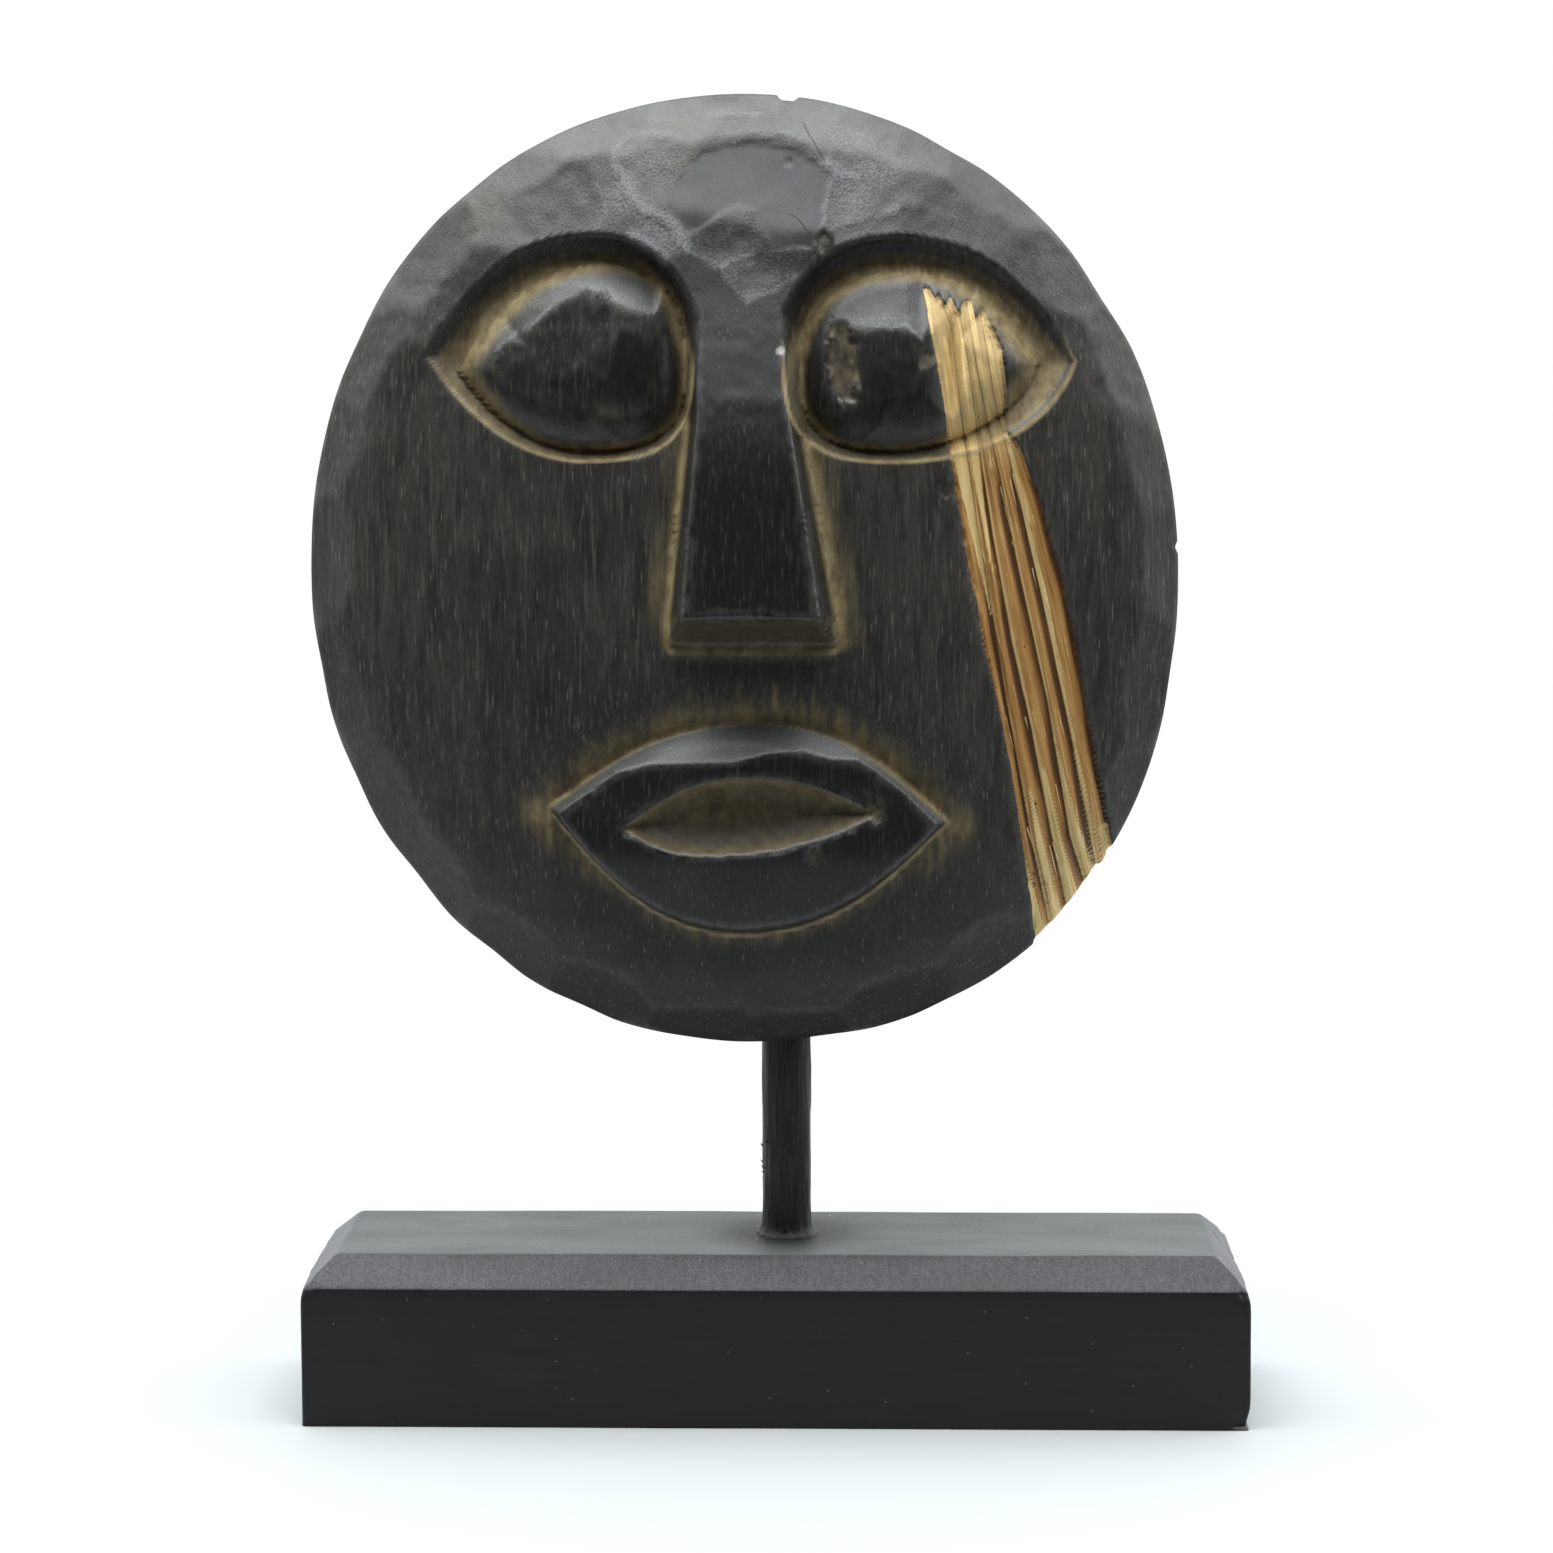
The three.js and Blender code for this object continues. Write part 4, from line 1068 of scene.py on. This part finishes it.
class Finish:
    """One material: its nodes and its shader. Constants are set on the shader's own sockets."""

    def __init__(self, name, **constants):
        self.material = bpy.data.materials.new(name)
        self.material.use_nodes = True
        self.tree = self.material.node_tree
        self.shader = self.tree.nodes["Principled BSDF"]
        for socket, value in constants.items():
            self.shader.inputs[socket.replace("_", " ")].default_value = value
        self.place = self.node("ShaderNodeTexCoord").outputs["Object"]

    def feed(self, socket, value):
        if isinstance(value, Value):
            value = value.socket
        if isinstance(value, bpy.types.NodeSocket):
            self.tree.links.new(value, socket)
        elif socket.type == "RGBA" and len(value) == 3:
            socket.default_value = (*value, 1)
        else:
            socket.default_value = value

    def node(self, kind, settings={}, sockets={}):
        node = self.tree.nodes.new(kind)
        for name, value in settings.items():
            if name == "stops":
                for _ in range(len(value) - 2):
                    node.color_ramp.elements.new(0.5)
                for element, (position, colour) in zip(node.color_ramp.elements, value):
                    element.position, element.color = position, (*colour, 1)
            else:
                setattr(node, name, value)
        for name, value in sockets.items():
            self.feed(node.inputs[name], value)
        return node

    def stretched(self, size, seed):
        """The place on the piece, counted in cells of a size in millimetres, from a start of its own."""
        scale = tuple(1 / (MM * length) for length in size)
        sockets = {0: self.place, "Location": (seed * 7.3, seed * 3.1, seed * 5.7), "Scale": scale}
        return self.node("ShaderNodeMapping", {}, sockets).outputs[0]

    def noise(self, size, seed, detail=3):
        sockets = {"Vector": self.stretched(size, seed), "Scale": 1.0, "Detail": detail, "Roughness": 0.55}
        return Value(self, self.node("ShaderNodeTexNoise", {}, sockets).outputs[0])

    def specks(self, size, seed):
        """The distance to the nearest of scattered points, in cells, and a random share of its own."""
        sockets = {"Vector": self.stretched(size, seed), "Scale": 1.0}
        node = self.node("ShaderNodeTexVoronoi", {}, sockets)
        chance = self.node("ShaderNodeSeparateColor", {}, {0: node.outputs["Color"]}).outputs[0]
        return Value(self, node.outputs["Distance"]), Value(self, chance)

    def streaks(self, across, along, seed, detail=4.0):
        """Noise over two values of its own, such as places along the bare band."""
        place = self.node("ShaderNodeCombineXYZ", {}, {0: across, 1: seed * 3.7, 2: along}).outputs[0]
        sockets = {"Vector": place, "Scale": 1.0, "Detail": detail, "Roughness": 0.6}
        return Value(self, self.node("ShaderNodeTexNoise", {}, sockets).outputs[0])

    def note(self, name):
        return Value(self, self.node("ShaderNodeAttribute", {"attribute_name": name}).outputs["Fac"])

    def along(self, axis):
        """The place along one axis, in millimetres."""
        parts = self.node("ShaderNodeSeparateXYZ", {}, {0: self.place})
        return Value(self, parts.outputs[axis]) * (1 / MM)

    def facing(self, axis):
        geometry = self.node("ShaderNodeNewGeometry")
        parts = self.node("ShaderNodeSeparateXYZ", {}, {0: geometry.outputs["True Normal"]})
        return Value(self, parts.outputs[axis])

    def blend(self, share, first, second):
        """Two colours mixed."""
        node = self.node("ShaderNodeMix", {"data_type": "RGBA"}, {0: share, 6: first, 7: second})
        return node.outputs[2]

    def ramp(self, value, *stops):
        return self.node("ShaderNodeValToRGB", {"stops": stops}, {0: value}).outputs[0]

    def done(self, colour, roughness, height, depth):
        """Colour, roughness, and a relief whose height of 1 stands for a depth in millimetres."""
        self.feed(self.shader.inputs["Base Color"], colour)
        self.feed(self.shader.inputs["Roughness"], roughness)
        sockets = {"Strength": 1.0, "Distance": depth * MM, "Height": height}
        bump = self.node("ShaderNodeBump", {}, sockets)
        self.feed(self.shader.inputs["Normal"], bump.outputs[0])
        return self.material


def stained_wood():
    """Dark stained hardwood: polished cuts, ochre dust in the hollows, pale pores, and the bare band."""
    finish = Finish("stained_wood", Specular_IOR_Level=0.5)
    polish, worn, dust = finish.note("polish"), finish.note("worn"), finish.note("dust")
    patches = finish.noise((34, 34, 60), 1)
    grain = finish.noise((0.9, 0.9, 16), 2, detail=4)
    fine = finish.noise((0.35, 0.35, 5), 3, detail=3)
    mottle = finish.noise((3.2, 3.2, 4.5), 4)
    rough_wood = finish.ramp(patches, (0.3, (0.027, 0.0255, 0.022)), (0.7, (0.049, 0.046, 0.038)))
    smooth_wood = finish.ramp(patches, (0.3, (0.007, 0.0073, 0.0073)), (0.7, (0.0115, 0.012, 0.0122)))
    colour = finish.blend(polish, rough_wood, smooth_wood)
    drift = finish.noise((4, 4, 22), 17, detail=4)
    colour = finish.blend(drift.rising(0.55, 0.35) * 0.6, colour, (0.01, 0.0098, 0.009))
    colour = finish.blend(grain.rising(0.5, 0.68) * (0.75 - 0.5 * polish), colour, (0.088, 0.082, 0.064))
    # Painted shade: the face darkens toward its bottom.
    painted_low_shade = finish.along("Z").rising(mask_z - 0.35 * half_height, mask_z - 0.9 * half_height)
    colour = finish.blend(painted_low_shade * 0.75, colour, (0.01, 0.0098, 0.009))
    colour = finish.blend(fine.rising(0.55, 0.35) * 0.5, colour, (0.006, 0.006, 0.0055))
    # Painted sheen, with some dust: faces that turn upward are lightened toward a pale grey, as the light
    # from above makes them look.
    top_sheen_and_dust = finish.facing("Z").rising(0.2, 0.85) * (0.3 + 0.6 * patches) * (0.75 + 0.5 * fine)
    top_sheen_and_dust = top_sheen_and_dust * (1 - 0.2 * polish.rising(0.7, 1.0))
    colour = finish.blend(top_sheen_and_dust, colour, (0.17, 0.18, 0.172))
    smooth_flat = finish.note("smooth")
    # Painted sheen: the smooth flats are tinted toward a bluish grey.
    colour = finish.blend(smooth_flat * 0.5, colour, (0.06, 0.063, 0.072))
    colour = finish.blend(finish.note("dark") * 0.9, colour, (0.013, 0.0135, 0.014))
    colour = finish.blend(worn * mottle.rising(0.3, 0.6) * 0.35, colour, (0.1, 0.098, 0.085))
    speckle = finish.noise((0.7, 0.7, 0.9), 12, detail=4)
    # Painted highlight, with some rubbing: the pale patches and ridges go a light bluish grey.
    scuffed_and_highlit = (finish.note("scuff") * (0.45 + 1.1 * speckle.rising(0.35, 0.65))).least(1.0)
    colour = finish.blend(scuffed_and_highlit * 0.65, colour, (0.24, 0.25, 0.262))
    distance_to, chance = finish.specks((1.2, 1.2, 9), 5)
    spread = finish.noise((30, 30, 45), 6)
    low_down = finish.along("Z").rising(mask_z + 0.75 * half_height, mask_z + 0.45 * half_height)
    pores = distance_to.rising(0.28, 0.1) * (chance - 1 + spread * 1.05).rising(-0.02, 0.1)
    pores = pores * low_down * (1 - 0.6 * polish)
    colour = finish.blend(pores * 0.6, colour, (0.15, 0.138, 0.11))
    streaky = finish.noise((2.2, 2.2, 9), 7)
    clotted = (dust * (0.7 + 0.6 * streaky) + 0.16 * (grain - 0.5)).rising(0.1, 0.95)
    dust_colour = finish.ramp(mottle, (0.3, (0.2, 0.149, 0.06)), (0.7, (0.39, 0.32, 0.165)))
    rusty = finish.noise((7, 7, 7), 10).rising(0.55, 0.7)
    dust_colour = finish.blend(rusty * 0.5, dust_colour, (0.13, 0.065, 0.02))
    colour = finish.blend(clotted * 0.9, colour, dust_colour)
    colour = finish.blend(finish.note("shade") * 0.8, colour, (0.005, 0.005, 0.005))
    brown_colour = finish.ramp(mottle, (0.35, (0.045, 0.036, 0.022)), (0.65, (0.16, 0.132, 0.088)))
    colour = finish.blend(finish.note("brown") * 0.85, colour, brown_colour)
    colour = finish.blend(finish.note("pale"), colour, (0.55, 0.55, 0.52))
    crack = (finish.note("crack") ** 2).rising(0.05, 0.005)
    colour = finish.blend(crack * 0.6, colour, (0.006, 0.006, 0.006))

    inside, rib, run = finish.note("band_inside"), finish.note("band_rib"), finish.along("Z")
    within = rib.least(4.999) % 1
    fibres = finish.streaks(rib * 9, run * 0.05, 1)
    broad = finish.streaks(rib * 2.3, run * 0.03, 2, 2.0)
    eye_part = run.rising(mask_z + 0.2 * half_height, mask_z + 0.34 * half_height)
    bare = finish.ramp(
        0.55 * fibres + 0.45 * broad, (0.34, (0.25, 0.11, 0.026)), (0.46, (0.42, 0.21, 0.055)),
        (0.56, (0.55, 0.31, 0.095)), (0.68, (0.72, 0.47, 0.19)))
    bare = finish.blend(eye_part * 0.6, bare, (0.68, 0.54, 0.26))
    last = rib.rising(3.99, 4.01)
    # Each rib darkens toward its right side, partly burn and partly a painted shade on its sunken side; the
    # band's left edge darkens too.
    side = within.rising(0.3, 1.0) * (1 - last) + within.rising(0.5, 1.0) * last
    side = side.most(rib.rising(0.45, 0.0) * 0.55)
    char = (finish.note("char") * side * 1.15 + 0.5 * (fibres - 0.5)).rising(0.1, 0.95)
    burnt_and_shaded = finish.ramp(char, (0.2, (0.3, 0.13, 0.028)), (0.85, (0.1, 0.042, 0.012)))
    bare = finish.blend(char.rising(0.0, 0.75), bare, burnt_and_shaded)
    cream = (finish.note("cream") + 0.8 * (fibres - 0.5)).rising(0.35, 0.65)
    cream_colour = finish.ramp(fibres, (0.35, (0.7, 0.47, 0.15)), (0.62, (0.93, 0.74, 0.36)))
    bare = finish.blend(cream * 0.9, bare, cream_colour)
    bright_line = within.rising(0.03, 0.08) * within.rising(0.22, 0.1) * broad.rising(0.3, 0.5)
    bare = finish.blend(bright_line * rib.rising(0.9, 1.0) * 0.8, bare, (0.9, 0.68, 0.3))
    # Painted shade in the grooves: a dark brown line along each rib's edges.
    groove = within.rising(0.04, 0.01).most(within.rising(0.9, 0.99))
    bare = finish.blend(groove * (0.6 - 0.25 * eye_part), bare, (0.075, 0.032, 0.011))
    holes, hole_chance = finish.specks((3.4, 3.4, 6), 9)
    holes = holes.rising(0.12, 0.06) * hole_chance.rising(0.72, 0.77)
    bare = finish.blend(holes, bare, (0.02, 0.01, 0.006))
    bare = finish.blend(finish.note("lip") * 0.85, bare, dust_colour)
    inside = (inside + 0.5 * (fibres - 0.5)).rising(-0.05, 0.2)
    colour = finish.blend(inside, colour, bare)

    roughness = 0.53 - 0.14 * polish + 0.16 * (mottle - 0.5) + 0.12 * (patches - 0.5) + 0.1 * scuffed_and_highlit
    roughness = roughness.most(clotted * 0.8).most(inside * 0.6).most(finish.note("brown") * 0.7)
    roughness = roughness.most(finish.note("dark") * 0.8)
    relief = 0.5 * grain * (1 - 0.8 * smooth_flat) + 0.3 * fine - 0.5 * pores - 1.5 * crack
    rough_film = finish.along("Z").rising(mask_z + 0.45 * half_height, mask_z + 0.6 * half_height)
    relief = relief + 0.9 * speckle * rough_film * (1 - smooth_flat) + 1.6 * inside * (fibres - 0.5)
    relief = relief + 0.3 * clotted * streaky + 1.0 * scuffed_and_highlit * finish.noise((1.1, 1.1, 1.1), 11)
    return finish.done(colour, roughness, relief, 0.16)


def bare_wood():
    """The slivers that stand up from the bare band."""
    finish = Finish("bare_wood", Specular_IOR_Level=0.3)
    tone = finish.noise((1.5, 1.5, 9), 15)
    colour = finish.ramp(
        tone, (0.35, (0.42, 0.21, 0.06)), (0.5, (0.68, 0.47, 0.2)), (0.65, (0.88, 0.74, 0.48)))
    return finish.done(colour, 0.6 + 0.1 * (tone - 0.5), finish.noise((0.3, 0.3, 4), 16), 0.05)


def black_wood():
    """Black stain that lets the grain show, with small grey flecks."""
    finish = Finish("black_wood", Specular_IOR_Level=0.3)
    grain = finish.noise((0.7, 0.7, 14), 21, detail=4)
    flecks = finish.noise((1.2, 1.2, 2.6), 22)
    colour = finish.ramp(grain, (0.35, (0.007, 0.0065, 0.0065)), (0.75, (0.03, 0.029, 0.027)))
    colour = finish.blend(flecks.rising(0.68, 0.74) * 0.5, colour, (0.12, 0.11, 0.09))
    roughness = 0.5 + 0.3 * (grain - 0.5)
    return finish.done(colour, roughness, grain + 0.5 * flecks, 0.25)


def painted_wood():
    """Black paint on a planed block, thin over the grain, dusty on top, darker round the rod, and with a
    painted sheen on the top and the chamfer.
    """
    finish = Finish("painted_wood", Specular_IOR_Level=0.25)
    grain = finish.noise((26, 1.1, 1.1), 31, detail=4)
    brushed = finish.noise((1.1, 7, 7), 32, detail=3)
    mottle = finish.noise((0.7, 0.7, 0.7), 33, detail=3)
    broad = finish.noise((40, 16, 16), 36)
    colour = finish.ramp(grain, (0.3, (0.0105, 0.0102, 0.0112)), (0.75, (0.0145, 0.014, 0.0155)))
    colour = finish.blend(broad.rising(0.4, 0.7) * 0.5, colour, (0.0085, 0.0105, 0.0098))
    x, y = finish.along("X") - rod_x, finish.along("Y")
    upward = finish.facing("Z")
    top = upward.rising(0.88, 0.97)
    slope = upward.rising(0.3, 0.5) * (1 - top)
    from_rod = (x * x + y * y) ** 0.5
    # Painted sheen, with some dust: the top is lightened to a greenish grey, as a glancing reflection would
    # make it, away from the rod.
    top_dust_and_sheen = finish.ramp(broad, (0.3, (0.09, 0.099, 0.094)), (0.7, (0.14, 0.154, 0.148)))
    colour = finish.blend(top * from_rod.rising(7, 32) * (0.6 + 0.35 * grain), colour, top_dust_and_sheen)
    scraped = finish.noise((0.9, 5, 5), 34, detail=4)
    # Painted sheen, with scraped paint: the chamfer is lightened to grey where it faces up.
    chamfer_scrapes_and_sheen = slope * (0.3 + 0.45 * mottle.rising(0.3, 0.7) + 0.7 * (scraped - 0.5))
    colour = finish.blend(chamfer_scrapes_and_sheen * (0.55 + 0.75 * broad), colour, (0.122, 0.122, 0.132))
    specks, chance = finish.specks((2.4, 2.4, 2.4), 35)
    front_edge = y.rising(-plinth_deep + 24, -plinth_deep + chamfer_run)
    near_rod = from_rod.rising(30, 14)
    wanted = (chance + 0.05 * front_edge + 0.05 * near_rod).rising(0.955, 0.965)
    colour = finish.blend(specks.rising(0.16, 0.08) * wanted * (0.2 + 0.8 * top), colour, (0.42, 0.42, 0.4))
    roughness = 0.46 + 0.14 * (mottle - 0.5) + 0.12 * top + 0.1 * (brushed - 0.5)
    relief = 0.35 * grain + 0.25 * brushed + 0.7 * mottle * (0.2 + slope)
    return finish.done(colour, roughness, relief, 0.1)


def floor_finish():
    """A pale floor, a little darker round its middle as a painted shade, that fades into the white around
    it.
    """
    finish = Finish("pale_floor", Roughness=0.7, Specular_IOR_Level=0.2)
    x, y = finish.along("X"), finish.along("Y")
    away = (x * x + y * y) ** 0.5
    # Painted shade: the floor darkens a little toward its middle, where the object stands.
    colour = finish.ramp(away / floor_radius, (0.1, (0.49, 0.52, 0.535)), (0.5, (0.55, 0.565, 0.57)))
    finish.feed(finish.shader.inputs["Base Color"], colour)
    ends = y.rising(260, 60) * y.rising(-330, -190)
    finish.feed(finish.shader.inputs["Alpha"], away.rising(floor_radius * 0.97, floor_radius * 0.5) * ends)
    return finish.material


# Room, light and camera

floor_radius = 800


def round_floor(material):
    turn = np.linspace(0, 2 * math.pi, 97)[:-1]
    skin = Skin()
    rim = skin.add(np.stack([np.cos(turn), np.sin(turn), turn * 0], axis=1) * floor_radius)
    skin.faces = [rim.tolist()]
    return skin.piece("round_floor", material)


def soft_light(name, place, aim, size, power):
    light = bpy.data.lights.new(name, "AREA")
    light.shape, light.size, light.size_y = "RECTANGLE", *size
    light.energy = power
    lamp = bpy.data.objects.new(name, light)
    lamp.location = place
    direction = Vector(aim) - Vector(place)
    lamp.rotation_euler = direction.to_track_quat("-Z", "Y").to_euler()
    bpy.context.scene.collection.objects.link(lamp)


def camera():
    """The photo's camera: its place and tilt follow from the plinth's corners in the picture."""
    lens = bpy.data.cameras.new("camera")
    lens.lens, lens.sensor_width, lens.clip_end = 95.26, 36, 50
    viewer = bpy.data.objects.new("camera", lens)
    viewer.location = (0.0273, -1.2099, 0.3177)
    viewer.rotation_euler = (math.pi / 2 - 0.1076, 0.0013, 0.0225)
    bpy.context.scene.collection.objects.link(viewer)
    bpy.context.scene.camera = viewer


def room():
    """White for the camera, and for the object a studio, bright behind and above it and dim in front."""
    scene = bpy.context.scene
    world = bpy.data.worlds.new("studio")
    world.use_nodes = True
    tree = world.node_tree
    kinds = ("Background", "Background", "LightPath", "MixShader", "TexCoord", "VectorMath", "MapRange")
    nodes = [tree.nodes.new("ShaderNode" + kind) for kind in kinds]
    studio, white, seen, mixed, direction, behind, level = nodes
    studio.inputs["Color"].default_value = (0.93, 0.97, 1, 1)
    white.inputs["Color"].default_value = (1, 1, 1, 1)
    behind.operation = "DOT_PRODUCT"
    behind.inputs[1].default_value = (0, 0.85, 0.53)
    for socket, value in (("From Min", -0.3), ("From Max", 0.75), ("To Min", 0.06), ("To Max", 1.6)):
        level.inputs[socket].default_value = value
    links = (
        (direction.outputs["Generated"], behind.inputs[0]), (behind.outputs["Value"], level.inputs["Value"]),
        (level.outputs[0], studio.inputs["Strength"]), (seen.outputs["Is Camera Ray"], mixed.inputs[0]),
        (studio.outputs[0], mixed.inputs[1]), (white.outputs[0], mixed.inputs[2]),
        (mixed.outputs[0], tree.nodes["World Output"].inputs[0]),
    )
    for start, end in links:
        tree.links.new(start, end)
    scene.world = world
    scene.view_settings.view_transform = "Standard"
    round_floor(floor_finish())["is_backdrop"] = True
    soft_light("softbox", (-0.1, -0.32, 1.3), (0, 0, 0.22), (1.3, 0.9), 21)
    soft_light("left_softbox", (-1.0, 0.1, 0.9), (0, 0, 0.25), (0.8, 0.8), 3)
    soft_light("right_softbox", (1.0, 0.1, 0.9), (0, 0, 0.25), (0.8, 0.8), 5)


camera()
mask, rod, plinth = mask_piece(stained_wood()), rod_piece(black_wood()), plinth_piece(painted_wood())
bare_slivers = slivers("bare_slivers", band_faces(mask), bare_wood(), {
    "Slivers per square metre": 9000.0, "Length": 0.009, "Radius": 0.00022,
    "Direction": (0.23, -0.02, -0.97), "Spread": 0.02, "Lift": 0.0, "Seed": 4})
rod_burrs = slivers("rod_burrs", rod.data, rod.data.materials[0], {
    "Slivers per square metre": 2600.0, "Length": 0.0014, "Radius": 0.0004,
    "Direction": (0.0, 0.0, 0.5), "Spread": 0.3, "Lift": 0.5, "Seed": 7})
for piece, node, slot in (
        (mask, "mask", "stained_wood"), (rod, "rod", "black_wood"), (plinth, "plinth", "painted_wood"),
        (bare_slivers, None, "stained_wood"), (rod_burrs, None, "black_wood")):
    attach(piece, "root")
    if node:
        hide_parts(node)
room()

boxes = {"cad": cad_box, "visual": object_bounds()}
{name: [list(corner) for corner in box] for name, box in boxes.items()}
